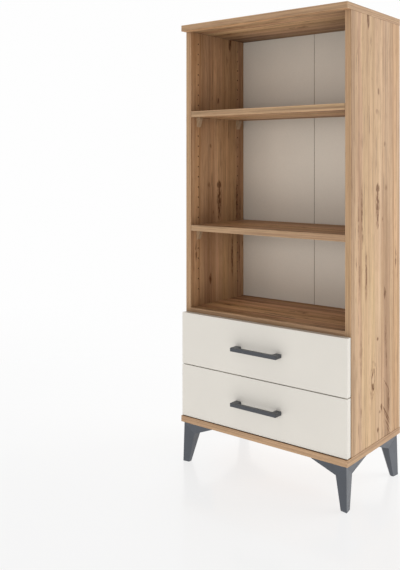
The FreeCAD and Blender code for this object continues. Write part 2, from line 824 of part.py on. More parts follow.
def make_shelves():
    """Two loose shelves, each on four supports in the pin holes."""
    half = "inner_half - shelf_side_play"
    for shelf in ("upper", "lower"):
        pin = f"first_pin + {shelf}_shelf_pin * pin_pitch"
        under = f"{pin} + support_height"
        supports = []
        for side, sign in SIDES.items():
            for index, row in enumerate(("front_row", "front_row + pin_row_gap")):
                at = (aside(sign, "inner_half"), row, pin)
                name = f"{shelf}_{side}_support_{index}"
                supports.append(make_support(name, at, 180 if sign > 0 else 0))
        keep(group(f"{shelf}_shelf_supports", supports), f"{shelf}_shelf_supports")
        board = block(f"{shelf}_shelf_board", (f"-({half})", half),
                      ("side_front", "back_face - shelf_back_play"), (under, f"{under} + board_thickness"))
        keep(board, f"{shelf}_shelf")


def check_model():
    """Stops if an object failed, a piece is empty or invalid, or a cut removed nothing."""
    for thing in doc.Objects:
        if "Invalid" in thing.State or "Error" in thing.State:
            raise RuntimeError(f"{thing.Name} failed: {thing.State}")
        if thing.TypeId == "Part::Cut" and thing.Shape.Volume >= thing.Base.Shape.Volume:
            raise RuntimeError(f"{thing.Name} cuts nothing")
        if thing.TypeId == "PartDesign::Pocket" and thing.Shape.Volume >= thing.BaseFeature.Shape.Volume:
            raise RuntimeError(f"{thing.Name} cuts nothing")
    for piece in pieces:
        if piece.Shape.isNull() or not piece.Shape.isValid():
            raise RuntimeError(f"{piece.Label} has no valid shape")


def write_pieces():
    """Writes each piece to a file of its own name."""
    os.makedirs("parts", exist_ok=True)
    for piece in pieces:
        piece.Shape.exportStep(f"parts/{piece.Label}.step")
        print(f"{piece.Label}: {len(piece.Shape.Solids)} solid(s), {piece.Shape.Volume / 1000:.1f} cm3")


def main():
    """Builds the fixings with their bores first, then the boards around them."""
    make_sheet()
    make_dowels()
    make_carcass_screws()
    make_deck_cams()
    make_legs()
    make_slides()
    for drawer in DRAWERS:
        make_handle(drawer)
        make_drawer(drawer)
    make_back()
    make_boards()
    make_shelves()
    doc.recompute()
    check_model()
    write_pieces()


main()
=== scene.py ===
"""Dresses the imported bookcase: its finishes, its small fixings, the studio and the camera.

Metres, +Z up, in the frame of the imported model. The drawers open towards -Y, and left and
right are seen from the front.
"""
import logging
import math
from dataclasses import dataclass, field
from enum import Enum
from typing import ClassVar

import bmesh
import bpy
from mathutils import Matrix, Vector


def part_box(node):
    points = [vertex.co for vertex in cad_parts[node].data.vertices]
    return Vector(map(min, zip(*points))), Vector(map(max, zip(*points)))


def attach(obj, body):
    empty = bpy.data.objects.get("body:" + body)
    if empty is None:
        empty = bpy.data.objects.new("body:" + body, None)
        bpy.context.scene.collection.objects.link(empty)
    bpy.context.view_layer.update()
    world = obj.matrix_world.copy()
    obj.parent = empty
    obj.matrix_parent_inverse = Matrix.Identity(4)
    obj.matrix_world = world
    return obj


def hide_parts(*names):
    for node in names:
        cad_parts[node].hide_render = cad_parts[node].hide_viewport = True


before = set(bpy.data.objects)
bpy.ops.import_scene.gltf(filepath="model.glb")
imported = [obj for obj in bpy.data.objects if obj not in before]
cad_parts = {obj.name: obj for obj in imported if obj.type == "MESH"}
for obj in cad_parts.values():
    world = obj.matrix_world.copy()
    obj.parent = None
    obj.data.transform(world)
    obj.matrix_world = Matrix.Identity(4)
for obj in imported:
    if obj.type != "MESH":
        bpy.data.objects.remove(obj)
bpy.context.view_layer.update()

IMAGE_HEIGHT = 570
MM = 0.001
MERGE_REACH = 0.001 * MM
WELD_REACH = 0.005 * MM
SHARP_TURN = 35.0

Socket = bpy.types.NodeSocket
Triple = tuple[float, float, float]
Colour = Triple
Stretch = Triple
Tones = tuple[tuple[float, Colour], ...]
Source = Socket | Vector | float | tuple

log = logging.getLogger("bookcase")


class Axis(Enum):
    """One direction of the object's frame."""

    X = 0
    Y = 1
    Z = 2

    @property
    def arrow(self) -> Vector:
        """The unit vector of this direction."""
        return Vector([float(self.value == i) for i in range(3)])


class Level(Enum):
    """One of the two drawers or shelves."""

    UPPER = "upper"
    LOWER = "lower"


class Hand(Enum):
    """Left or right, seen from the front."""

    LEFT = "left"
    RIGHT = "right"


class HeadStyle(Enum):
    """How the outer end of a fixing is shaped."""

    PAN = "pan"
    FLUSH = "flush"
    CAM = "cam"


class Recipe:
    """The node tree of one material while it is put together."""

    def __init__(self, name: str) -> None:
        """Starts a material that has one Principled shader.

        Args:
            name: The material's name.
        """
        self.material = bpy.data.materials.new(name)
        self.material.use_nodes = True
        self.tree = self.material.node_tree
        self.shader = self.tree.nodes["Principled BSDF"]
        self.output = self.tree.nodes["Material Output"]
        coordinates = self.add("TexCoord")
        self.place: Socket = coordinates.outputs["Object"]
        self.normal: Socket = coordinates.outputs["Normal"]

    def feed(self, target: Socket, source: Source) -> None:
        """Links a socket to a source, or sets it where the source is plain numbers.

        Args:
            target: The socket that is fed.
            source: Another node's socket, a number, a vector or a colour.
        """
        if isinstance(source, bpy.types.NodeSocket):
            self.tree.links.new(source, target)
        elif target.type == "RGBA":
            target.default_value = (*source, 1.0)
        else:
            target.default_value = source

    def add(self, kind: str, inputs: dict[str | int, Source] | None = None,
            **settings: object) -> bpy.types.Node:
        """Adds one node.

        Args:
            kind: The node's type without its leading ShaderNode.
            inputs: What goes into its sockets, by name or number.
            settings: Properties of the node itself.

        Returns:
            The new node.
        """
        node = self.tree.nodes.new("ShaderNode" + kind)
        for key, value in settings.items():
            setattr(node, key, value)
        for key, value in (inputs or {}).items():
            self.feed(node.inputs[key], value)
        return node

    def calc(self, operation: str, first: Source, second: Source = 0.0) -> Socket:
        """The result of a sum on two numbers."""
        return self.add("Math", {0: first, 1: second}, operation=operation).outputs[0]

    def vector(self, operation: str, first: Source, second: Source = (0.0, 0.0, 0.0),
               third: Source = (0.0, 0.0, 0.0)) -> Socket:
        """The vector that a vector operation gives."""
        node = self.add("VectorMath", {0: first, 1: second, 2: third}, operation=operation)
        return node.outputs["Vector"]

    def measure(self, operation: str, first: Source, second: Source = (0.0, 0.0, 0.0)) -> Socket:
        """The number that a vector operation gives."""
        node = self.add("VectorMath", {0: first, 1: second}, operation=operation)
        return node.outputs["Value"]

    def noise(self, place: Source, stretch: Source, detail: float = 2.0,
              roughness: float = 0.5, distortion: float = 0.0) -> Socket:
        """A cloud pattern.

        Args:
            place: Where the pattern is read.
            stretch: How many clouds there are in a metre, along each direction.
            detail: How many finer layers are added.
            roughness: How strong each finer layer is.
            distortion: How far the clouds are pulled about.

        Returns:
            A number about one half.
        """
        node = self.add("TexNoise", {
            "Vector": self.vector("MULTIPLY", place, stretch), "Scale": 1.0, "Detail": detail,
            "Roughness": roughness, "Distortion": distortion})
        return node.outputs[0]

    def cells(self, place: Source, stretch: Source) -> bpy.types.Node:
        """A pattern of cells, so many in a metre along each direction."""
        return self.add("TexVoronoi", {"Vector": self.vector("MULTIPLY", place, stretch),
                                       "Scale": 1.0})

    def fade(self, value: Source, low: float, high: float, start: float = 0.0,
             end: float = 1.0) -> Socket:
        """A smooth step from start to end, as a value goes from low to high."""
        return self.add("MapRange", {0: value, 1: low, 2: high, 3: start, 4: end},
                        interpolation_type="SMOOTHSTEP").outputs[0]

    def facing(self, axis: Axis, sign: int = 0) -> Socket:
        """Where the surface faces along an axis.

        Args:
            axis: The direction.
            sign: Which way along it, or nought for either way.

        Returns:
            One on the faces that do, and nought on the rest.
        """
        along = self.measure("DOT_PRODUCT", self.normal, axis.arrow * (sign or 1))
        if not sign:
            along = self.calc("ABSOLUTE", along)
        return self.fade(along, 0.6, 0.8)

    def corners(self, reach: float, dimmest: float) -> Socket:
        """How much darker the surface is painted in its corners, as painted shade where shade
        falls.

        Args:
            reach: How far out of a corner the painted shade goes.
            dimmest: The number in the deepest corner.

        Returns:
            A number that is one in the open.
        """
        # Painted shade: ambient occlusion darkens the colour in corners and recesses.
        node = self.add("AmbientOcclusion", {"Distance": reach}, samples=6)
        return self.add("MapRange", {0: node.outputs["AO"], 1: 0.25, 2: 0.95, 3: dimmest,
                                     4: 1.0}).outputs[0]

    def ramp(self, value: Source, stops: Tones) -> Socket:
        """The colour at a value, between the stops on either side of it.

        Args:
            value: A number from nought to one.
            stops: Places on that range, each with its colour.

        Returns:
            The colour.
        """
        node = self.add("ValToRGB", {0: value})
        elements = node.color_ramp.elements
        while len(elements) < len(stops):
            elements.new(0.5)
        for element, (position, colour) in zip(elements, stops):
            element.position = position
            element.color = (*colour, 1.0)
        return node.outputs[0]

    def mix(self, share: Source, first: Source, second: Source) -> Socket:
        """A mixture of two colours."""
        return self.add("Mix", {0: share, 6: first, 7: second}, data_type="RGBA").outputs[2]

    def between(self, share: Source, first: Source, second: Source) -> Socket:
        """A mixture of two numbers."""
        return self.add("Mix", {0: share, 2: first, 3: second}, data_type="FLOAT").outputs[0]

    def shade(self, colour: Source, share: Source) -> Socket:
        """A colour made lighter or darker by a number."""
        return self.vector("MULTIPLY", colour, self.add("CombineXYZ", {
            0: share, 1: share, 2: share}).outputs[0])

    def bump(self, height: Source, depth: float) -> None:
        """Raises and lowers the surface's shading, by a height from nought to one."""
        node = self.add("Bump", {"Strength": 1.0, "Distance": depth, "Height": height})
        self.feed(self.shader.inputs["Normal"], node.outputs[0])

    def finish(self, **sockets: Source) -> bpy.types.Material:
        """Feeds the shader's sockets, named with _ for each space.

        Args:
            sockets: What goes into each socket.

        Returns:
            The finished material.
        """
        for name, source in sockets.items():
            words = name.replace("_", " ").title().replace("Ior", "IOR")
            self.feed(self.shader.inputs[words], source)
        return self.material


@dataclass(frozen=True)
class Layer:
    """The look of a decor on a board: its colour, its roughness and its height."""

    colour: Source
    roughness: Source
    height: Source


@dataclass(frozen=True)
class BoardFinish:
    """A chipboard with a decor on its faces, and raw chips in its holes, grooves and rear edge.

    Low and high are the corners of the board's box, and the skin is how deep its decor goes.
    """

    name: str
    low: Vector
    high: Vector
    skin: float = 0.6 * MM
    bump_depth: float = 0.12 * MM
    gloss: float = 0.5
    chip_tones: tuple[Colour, Colour, Colour] = (
        (0.15, 0.09, 0.045), (0.33, 0.22, 0.12), (0.50, 0.37, 0.22))
    coarse_chips: Stretch = (420.0, 300.0, 420.0)
    fine_chips: Stretch = (1100.0, 900.0, 1100.0)
    fine_share: float = 0.45
    chip_roughness: float = 0.9
    # Painted shade in holes and grooves: how dark the chips are made there.
    scorch: float = 0.48
    raw_rear: bool = True
    rub_patches: Stretch = (14.0, 14.0, 14.0)
    rub_reach: float = 2.2 * MM
    rub_full: float = 0.5 * MM

    def decor(self, recipe: Recipe) -> Layer:
        """The decor, which each kind of board has of its own."""
        raise NotImplementedError

    def depths(self, recipe: Recipe) -> list[Socket]:
        """How deep the surface lies in the board's box.

        Args:
            recipe: The material in the making.

        Returns:
            The depth along each axis.
        """
        middle = (self.low + self.high) / 2
        half = (self.high - self.low) / 2
        away = recipe.vector("ABSOLUTE", recipe.vector("SUBTRACT", recipe.place, middle))
        return list(recipe.add("SeparateXYZ", {0: recipe.vector("SUBTRACT", half, away)}).outputs)

    def cut(self, recipe: Recipe) -> Socket:
        """Where the surface lies deeper in the board than its decor.

        Args:
            recipe: The material in the making.

        Returns:
            One in holes and grooves, and nought elsewhere.
        """
        depth = self.depths(recipe)
        nearest = recipe.calc("MINIMUM", recipe.calc("MINIMUM", depth[0], depth[1]), depth[2])
        return recipe.fade(nearest, self.skin, 1.5 * self.skin)

    def rubbed(self, recipe: Recipe) -> Socket:
        """Where hands and cloths have polished the arrises.

        Args:
            recipe: The material in the making.

        Returns:
            One in broken stretches along the arrises, and nought elsewhere.
        """
        depth = self.depths(recipe)
        less, more = (recipe.calc(word, depth[0], depth[1]) for word in ("MINIMUM", "MAXIMUM"))
        arris = recipe.calc("MAXIMUM", less, recipe.calc("MINIMUM", more, depth[2]))
        patches = recipe.noise(recipe.place, self.rub_patches, detail=4.0)
        return recipe.calc("MULTIPLY", recipe.fade(arris, self.rub_reach, self.rub_full),
                           recipe.fade(patches, 0.44, 0.62))

    def chips(self, recipe: Recipe, cut: Socket) -> Layer:
        """Pressed wood chips, coarse and fine, darkened with painted shade in holes and grooves.

        Args:
            recipe: The material in the making.
            cut: One in holes and grooves.

        Returns:
            The look of the chips.
        """
        coarse = recipe.cells(recipe.place, self.coarse_chips)
        fine = recipe.cells(recipe.place, self.fine_chips)
        tone = recipe.between(
            self.fine_share, recipe.add("SeparateColor", {0: coarse.outputs[1]}).outputs[0],
            recipe.add("SeparateColor", {0: fine.outputs[1]}).outputs[1])
        colour = recipe.ramp(tone, tuple(zip((0.1, 0.5, 0.9), self.chip_tones)))
        # Painted shade inside holes and grooves.
        colour = recipe.shade(colour, recipe.fade(cut, 0.0, 1.0, 1.0, self.scorch))
        return Layer(colour, self.chip_roughness, coarse.outputs[0])

    def material(self) -> bpy.types.Material:
        """The decor with the raw core where it shows.

        Returns:
            The finished material.
        """
        recipe = Recipe(self.name)
        cut = self.cut(recipe)
        core = recipe.calc("MAXIMUM", cut, recipe.facing(Axis.Y, 1)) if self.raw_rear else cut
        face, chips = self.decor(recipe), self.chips(recipe, cut)
        recipe.bump(recipe.between(core, face.height, chips.height), self.bump_depth)
        return recipe.finish(
            base_color=recipe.mix(core, face.colour, chips.colour),
            roughness=recipe.between(core, face.roughness, chips.roughness),
            specular_ior_level=self.gloss)


class StaveTint(Enum):
    """What a stave of the printed oak does to the common tone."""

    PLAIN = (1.00, 1.00, 1.00)
    HONEY = (1.04, 1.07, 1.03)
    ROSE = (0.92, 0.88, 0.90)
    GREY = (0.86, 0.84, 0.86)
    AMBER = (0.97, 0.92, 0.86)
    PALE = (1.05, 1.07, 1.09)
    DUSK = (0.76, 0.74, 0.73)


class Figure(Enum):
    """A figure of the printed oak: how many there are in a metre, along, across and below."""

    DRIFT = (1.3, 7.0, 7.0)
    RIPPLE = (6.0, 30.0, 30.0)
    STAVE_WANDER = (2.2, 9.0, 0.0)
    BANDS = (0.75, 24.0, 24.0)
    HUES = (2.6, 26.0, 26.0)
    STREAKS = (1.8, 85.0, 85.0)
    FLECKS = (26.0, 240.0, 240.0)
    THREADS = (1.2, 150.0, 150.0)
    LINES = (5.0, 420.0, 420.0)
    PORES = (55.0, 1500.0, 1500.0)
    WILD = (1.2, 9.0, 9.0)
    DARK_STREAKS = (8.0, 110.0, 110.0)
    SPLITS = (13.0, 150.0, 150.0)
    CRACK_WOBBLE = (45.0, 60.0, 0.0)
    CRACK_BREAKS = (55.0, 190.0, 0.0)
    KNOT_WOBBLE = (45.0, 70.0, 0.0)
    RING_BREAKS = (30.0, 55.0, 0.0)


@dataclass(frozen=True)
class Stave:
    """A strip of the printed oak: where it starts across the sheet, and its tint."""

    start: float
    tint: StaveTint


@dataclass(frozen=True)
class Crack:
    """A dark mark in the printed oak.

    Its middle along and across the grain, its length and width, how dark it is, and by how
    many degrees it slants from the grain.
    """

    along: float
    across: float
    length: float
    width: float
    depth: float
    slant: float = 0.0


@dataclass(frozen=True)
class Knot:
    """A ringed knot in the printed oak.

    Its middle along and across the grain, its radius across, how many times longer it is along
    the grain, and by how many degrees it slants from it.
    """

    along: float
    across: float
    radius: float
    stretch: float = 2.6
    slant: float = 8.0


@dataclass(frozen=True)
class KnotRing:
    """A dark ring of a knot: its radius and width in the knot's radii, and how dark it is."""

    radius: float
    width: float
    depth: float


@dataclass(frozen=True)
class Reading:
    """What the oak print is read by.

    The place along the grain, across it and below the good face, that place with the grain's
    meander, one on the board's wide faces, and the fine lines, pores and wild parts of the print.
    """

    place: Socket
    bent: Socket
    wide: Socket
    lines: Socket
    pores: Socket
    wild: Socket


def cracks_in_mm(*rows: tuple[float, ...]) -> tuple[Crack, ...]:
    """Cracks from rows whose first four numbers are millimetres."""
    return tuple(Crack(*(v * MM for v in row[:4]), *row[4:]) for row in rows)


@dataclass(frozen=True)
class OakDecor(BoardFinish):
    """Rustic oak print of glued staves, with its grain along one axis of the board.

    The print is laid from the board's good face, which has its cracks and knots. Where mirror
    is set, it runs the other way across the grain, from that place. One face may have painted
    light and sheen: a paler, more even print where more light falls on it.
    """

    gloss: float = 0.12
    grain: Axis = Axis.X
    through: Axis = Axis.Z
    good_face: int = 1
    print_depth: float = 6 * MM
    # Painted light and sheen: the face that gets it, its tint and how far it is evened.
    pale_face: int = 0
    paleness: Colour = (0.94, 1.03, 1.14)
    veil: float = 0.06
    mirror: float | None = None
    seed: float = 0.0
    seed_steps: Stretch = (3.1, 1.7, 2.3)
    tones: Tones = (
        (0.28, (0.405, 0.231, 0.120)),
        (0.41, (0.515, 0.305, 0.164)),
        (0.50, (0.567, 0.341, 0.185)),
        (0.59, (0.608, 0.374, 0.208)),
        (0.72, (0.655, 0.417, 0.243)),
    )
    staves: tuple[Stave, ...] = (
        Stave(-0.128, StaveTint.DUSK), Stave(-0.104, StaveTint.PLAIN),
        Stave(-0.086, StaveTint.ROSE), Stave(-0.064, StaveTint.HONEY),
        Stave(0.012, StaveTint.PALE), Stave(0.057, StaveTint.PLAIN),
        Stave(0.072, StaveTint.GREY), Stave(0.108, StaveTint.PALE),
        Stave(0.126, StaveTint.AMBER), Stave(0.163, StaveTint.PLAIN),
    )
    sheet: float = 0.306
    stave_blend: float = 7 * MM
    stave_shift: float = 0.0
    stave_wander: float = 9 * MM
    meander: float = 18 * MM
    wildness: float = 0.42
    contrast: float = 1.0
    edging_fineness: float = 3.0
    edging_share: float = 0.8
    edge_tone: Colour = (0.760, 0.815, 0.880)
    edging_thickness: float = 1.0 * MM
    glue_line: float = 0.35
    streak_colour: Colour = (0.140, 0.078, 0.040)
    streak_tint: Colour = (0.60, 0.51, 0.42)
    cracks: tuple[Crack, ...] = ()
    crack_colour: Colour = (0.112, 0.032, 0.004)
    crack_share: float = 0.92
    crack_wobble: float = 10 * MM
    crack_spread: tuple[float, float] = (0.80, 0.85)
    knots: tuple[Knot, ...] = ()
    knot_rings: tuple[KnotRing, ...] = (KnotRing(0.95, 0.50, 1.0), KnotRing(2.0, 0.35, 0.3))
    rub_share: float = 0.28
    rub_polish: float = 0.14
    # Painted shade in corners: its tone in the deepest corner and how far it reaches.
    corner_tone: float = 0.66
    corner_reach: float = 150 * MM

    @property
    def across(self) -> Axis:
        """The direction across the grain, in the board's wide faces."""
        return next(a for a in Axis if a not in (self.grain, self.through))

    def grain_place(self, recipe: Recipe) -> Socket:
        """Where the print is read. On the ends of the board, its grain runs along the edge.

        Args:
            recipe: The material in the making.

        Returns:
            The place along the grain, across it and below the good face.
        """
        parts = recipe.add("SeparateXYZ", {0: recipe.place}).outputs
        along, across, through = (parts[a.value] for a in (self.grain, self.across, self.through))
        if self.mirror is not None:
            across = recipe.calc("SUBTRACT", self.mirror, across)
        face = (self.high if self.good_face > 0 else self.low)[self.through.value]
        below = recipe.calc("ABSOLUTE", recipe.calc("SUBTRACT", through, face))
        below = recipe.calc("MULTIPLY", below, self.edging_fineness)
        wide = recipe.add("CombineXYZ", {0: along, 1: across, 2: below}).outputs[0]
        end = recipe.add("CombineXYZ", {0: across, 1: below, 2: along}).outputs[0]
        node = recipe.add("Mix", {0: recipe.facing(self.grain), 4: wide, 5: end},
                          data_type="VECTOR")
        return node.outputs[1]

    def bent_place(self, recipe: Recipe, place: Socket) -> Socket:
        """The place with the slow meander of the grain.

        Args:
            recipe: The material in the making.
            place: Where the print is read.

        Returns:
            The place, moved across the grain.
        """
        drift = recipe.noise(place, Figure.DRIFT.value, detail=2.0)
        ripple = recipe.noise(place, Figure.RIPPLE.value, detail=1.0)
        shift = recipe.calc("ADD", recipe.calc("MULTIPLY", drift, self.meander),
                            recipe.calc("MULTIPLY", ripple, self.meander / 5))
        aside = recipe.add("CombineXYZ", {1: shift, 2: shift}).outputs[0]
        return recipe.vector("ADD", place, aside)

    def reading(self, recipe: Recipe) -> Reading:
        """What this board's print is read by.

        Args:
            recipe: The material in the making.

        Returns:
            Places, faces and the figures that several parts of the print share.
        """
        place = self.grain_place(recipe)
        start = tuple(self.seed * step for step in self.seed_steps)
        bent = self.bent_place(recipe, recipe.vector("ADD", place, start))
        return Reading(
            place=place, bent=bent, wide=recipe.facing(self.through),
            lines=recipe.noise(bent, Figure.LINES.value, detail=2.0),
            pores=recipe.noise(bent, Figure.PORES.value, detail=1.0),
            wild=recipe.noise(bent, Figure.WILD.value, detail=1.0))

    def stave_tint(self, recipe: Recipe, place: Socket) -> Socket:
        """The tint of the stave that a place is on, with soft joints.

        Args:
            recipe: The material in the making.
            place: Where the print is read.

        Returns:
            The tint, which multiplies the common tone.
        """
        start = self.staves[0].start
        wander = recipe.noise(place, Figure.STAVE_WANDER.value, detail=2.0)
        across = recipe.add("SeparateXYZ", {0: place}).outputs[1]
        across = recipe.calc("ADD", across, recipe.fade(
            wander, 0.2, 0.8, -self.stave_wander, self.stave_wander))
        across = recipe.calc("ADD", across, self.stave_shift - start)
        share = recipe.calc("FRACT", recipe.calc("DIVIDE", across, self.sheet))
        stops = [(0.0, self.staves[0].tint.value)]
        for before, after in zip(self.staves, self.staves[1:]):
            for offset, stave in ((-self.stave_blend, before), (self.stave_blend, after)):
                stops.append(((after.start + offset / 2 - start) / self.sheet, stave.tint.value))
        return recipe.ramp(share, tuple(stops))

    def ground(self, recipe: Recipe, at: Reading) -> Socket:
        """Bands of tan in tinted staves, and a plainer edging.

        Args:
            recipe: The material in the making.
            at: What the print is read by.

        Returns:
            The colour under all streaks and marks.
        """
        bands = recipe.noise(at.bent, Figure.BANDS.value, detail=2.0, roughness=0.55)
        colour = recipe.ramp(bands, self.tones)
        plain = tuple(tone * tint for tone, tint in zip(self.tones[2][1], self.edge_tone))
        edging = recipe.mix(self.edging_share, colour, plain)
        colour = recipe.mix(at.wide, edging, recipe.vector(
            "MULTIPLY", colour, self.stave_tint(recipe, at.place)))
        hue = recipe.noise(at.bent, Figure.HUES.value, detail=1.0)
        for tint, low, high in ((StaveTint.ROSE, 0.52, 0.70), (StaveTint.HONEY, 0.46, 0.28)):
            colour = recipe.mix(recipe.fade(hue, low, high, 0.0, 0.6), colour,
                                recipe.vector("MULTIPLY", colour, tint.value))
        return colour

    def streaked(self, recipe: Recipe, at: Reading, colour: Socket) -> Socket:
        """The ground with burnt streaks and flecks, lines and pores, and threads on the edging.

        Args:
            recipe: The material in the making.
            at: What the print is read by.
            colour: The ground.

        Returns:
            The streaked colour.
        """
        streaks = recipe.noise(at.bent, Figure.STREAKS.value, detail=4.0, roughness=0.55)
        flecks = recipe.noise(at.bent, Figure.FLECKS.value, detail=2.0)
        threads = recipe.noise(at.bent, Figure.THREADS.value, detail=2.0)
        burnt = recipe.vector("MULTIPLY", colour, self.streak_tint)
        colour = recipe.mix(recipe.calc("MULTIPLY", recipe.fade(streaks, 0.54, 0.30),
                                        recipe.between(at.wide, 0.16, 0.62)), colour, burnt)
        colour = recipe.shade(colour, recipe.fade(streaks, 0.48, 0.70, 1.0, 1.14))
        colour = recipe.mix(recipe.fade(flecks, 0.52, 0.72, 0.0, 0.38), colour, burnt)
        colour = recipe.shade(colour, recipe.between(
            at.wide, recipe.fade(threads, 0.32, 0.68, 0.84, 1.12), 1.0))
        colour = recipe.shade(colour, recipe.fade(at.lines, 0.30, 0.70, 0.91, 1.08))
        return recipe.shade(colour, recipe.fade(at.pores, 0.60, 0.72, 1.0, 0.86))

    def darkened(self, recipe: Recipe, at: Reading, colour: Socket) -> Socket:
        """The print with dark streaks in its wild parts, which are fainter on the edging.

        Args:
            recipe: The material in the making.
            at: What the print is read by.
            colour: The print so far.

        Returns:
            The darkened colour.
        """
        dark = recipe.noise(at.bent, Figure.DARK_STREAKS.value, detail=3.0, roughness=0.6,
                            distortion=0.3)
        dark = recipe.calc("MULTIPLY", recipe.fade(dark, 0.54, 0.69),
                           recipe.fade(at.wild, 0.38, 0.56))
        share = recipe.between(at.wide, 0.4 * self.wildness, self.wildness)
        return recipe.mix(recipe.calc("MULTIPLY", dark, share), colour, self.streak_colour)

    def stronger(self, recipe: Recipe, colour: Socket) -> Socket:
        """The print with its light and dark further apart.

        Args:
            recipe: The material in the making.
            colour: The print so far.

        Returns:
            The colour, unchanged where the contrast is one.
        """
        if self.contrast == 1.0:
            return colour
        middle = self.tones[1][1]
        node = recipe.add("Gamma", {0: recipe.vector("DIVIDE", colour, middle), 1: self.contrast})
        return recipe.vector("MULTIPLY", node.outputs[0], middle)

    def splits(self, recipe: Recipe, at: Reading) -> Socket:
        """Fine splits in the wild parts of the print, and the cracks at set places.

        Args:
            recipe: The material in the making.
            at: What the print is read by.

        Returns:
            How dark the splits are, from nought to one.
        """
        splits = recipe.noise(at.bent, Figure.SPLITS.value, detail=2.0)
        splits = recipe.calc("MULTIPLY", recipe.fade(splits, 0.70, 0.78),
                             recipe.fade(at.wild, 0.50, 0.60))
        if self.cracks:
            splits = recipe.calc("MAXIMUM", splits, self.placed_cracks(recipe, at))
        return splits

    def limed(self, recipe: Recipe, colour: Socket) -> Socket:
        """The print with painted light and sheen on one face, where it has one.

        Args:
            recipe: The material in the making.
            colour: The print so far.

        Returns:
            The colour, painted paler and more even on that face as light and sheen.
        """
        if not self.pale_face:
            return colour
        # Painted light and sheen: evened towards the middle tone, then tinted paler.
        even = recipe.mix(self.veil, colour, self.tones[2][1])
        return recipe.mix(recipe.facing(self.through, self.pale_face), colour,
                          recipe.vector("MULTIPLY", even, self.paleness))

    def decor(self, recipe: Recipe) -> Layer:
        """Staves with bands of tan, streaks, splits, knots and pores.

        Args:
            recipe: The material in the making.

        Returns:
            The look of the print.
        """
        at = self.reading(recipe)
        colour = self.streaked(recipe, at, self.ground(recipe, at))
        colour = self.stronger(recipe, self.darkened(recipe, at, colour))
        splits = self.splits(recipe, at)
        colour = recipe.mix(recipe.calc("MULTIPLY", splits, self.crack_share), colour,
                            self.crack_colour)
        if self.knots:
            colour = self.ringed(recipe, at.place, colour)
        # Painted light and sheen on one face, then the glue line of the edging.
        colour = recipe.shade(self.limed(recipe, colour), self.edging_joint(recipe))
        rubbed = self.rubbed(recipe)
        colour = recipe.mix(recipe.calc("MULTIPLY", rubbed, self.rub_share), colour,
                            self.tones[4][1])
        # Painted shade, darker in corners where shade falls.
        colour = recipe.shade(colour, recipe.corners(self.corner_reach, self.corner_tone))
        sunk = recipe.calc("ADD", recipe.fade(at.pores, 0.60, 0.72, 0.0, 0.3),
                           recipe.calc("MULTIPLY", splits, 0.6))
        height = recipe.calc("SUBTRACT", recipe.calc("MULTIPLY", at.lines, 0.5), sunk)
        roughness = recipe.calc("SUBTRACT", recipe.fade(at.lines, 0.3, 0.7, 0.62, 0.50),
                                recipe.calc("MULTIPLY", rubbed, self.rub_polish))
        return Layer(colour, roughness, height)

    def edging_joint(self, recipe: Recipe) -> Socket:
        """The fine glue line between the edging and the faces.

        Args:
            recipe: The material in the making.

        Returns:
            A number that is one, and lower in the line.
        """
        depth = self.depths(recipe)
        nearest = recipe.calc("MINIMUM", depth[self.grain.value], depth[self.across.value])
        off = recipe.calc("ABSOLUTE", recipe.calc("SUBTRACT", nearest, self.edging_thickness))
        line = recipe.calc("MULTIPLY", recipe.fade(off, 0.25 * MM, 0.08 * MM),
                           recipe.facing(self.through))
        return recipe.calc("SUBTRACT", 1.0, recipe.calc("MULTIPLY", line, self.glue_line))

    def on_the_good_face(self, recipe: Recipe, place: Socket) -> Socket:
        """Where the board shows its good face.

        Args:
            recipe: The material in the making.
            place: Where the print is read.

        Returns:
            One on that face, and nought elsewhere.
        """
        below = recipe.add("SeparateXYZ", {0: place}).outputs[2]
        near = recipe.fade(below, 1.5 * self.print_depth, self.print_depth)
        return recipe.calc("MULTIPLY", near, recipe.facing(self.through, self.good_face))

    def oval(self, recipe: Recipe, place: Socket, middle: tuple[float, float],
             half: tuple[float, float], slant: float) -> Socket:
        """A place seen from the middle of an oval on the good face.

        Args:
            recipe: The material in the making.
            place: Where the print is read.
            middle: The oval's middle, along and across the grain.
            half: Half its length and half its width.
            slant: How far it is turned from the grain, in degrees.

        Returns:
            The place along and across the oval, in its half sizes.
        """
        node = recipe.add("Mapping", {
            "Vector": place, "Location": (*middle, 0.0), "Scale": (*half, 1.0),
            "Rotation": (0.0, 0.0, math.radians(slant))}, vector_type="TEXTURE")
        return node.outputs[0]

    def placed_cracks(self, recipe: Recipe, at: Reading) -> Socket:
        """The marks that the print has at set places on its good face.

        Args:
            recipe: The material in the making.
            at: What the print is read by.

        Returns:
            How dark the marks are, from nought to one.
        """
        wobble = recipe.noise(at.place, Figure.CRACK_WOBBLE.value, detail=4.0, roughness=0.65)
        wobble = recipe.calc("MULTIPLY", recipe.calc("SUBTRACT", wobble, 0.5), self.crack_wobble)
        bent = recipe.vector("ADD", at.place, recipe.add("CombineXYZ", {1: wobble}).outputs[0])
        darkest: Source = 0.0
        for crack in self.cracks:
            half = (self.crack_spread[0] * crack.length, self.crack_spread[1] * crack.width)
            local = self.oval(recipe, bent, (crack.along, crack.across), half, crack.slant)
            size = recipe.vector("ABSOLUTE", local)
            # The square along the grain plus the plain distance across it gives pointed ends.
            away = recipe.measure("DOT_PRODUCT", size, recipe.vector(
                "MULTIPLY_ADD", size, (1.0, 0.0, 0.0), (0.0, 1.0, 0.0)))
            shade = recipe.add("Math", {0: away, 1: -crack.depth, 2: crack.depth},
                               operation="MULTIPLY_ADD").outputs[0]
            darkest = recipe.calc("MAXIMUM", shade, darkest)
        breaks = recipe.noise(at.place, Figure.CRACK_BREAKS.value, detail=2.0)
        frayed = recipe.calc("MULTIPLY", darkest, recipe.fade(at.lines, 0.3, 0.7, 1.3, 0.8))
        frayed = recipe.calc("MULTIPLY", frayed, recipe.fade(breaks, 0.34, 0.60, 0.45, 1.15))
        mark = recipe.fade(frayed, 0.02, 0.80)
        return recipe.calc("MULTIPLY", mark, self.on_the_good_face(recipe, at.place))

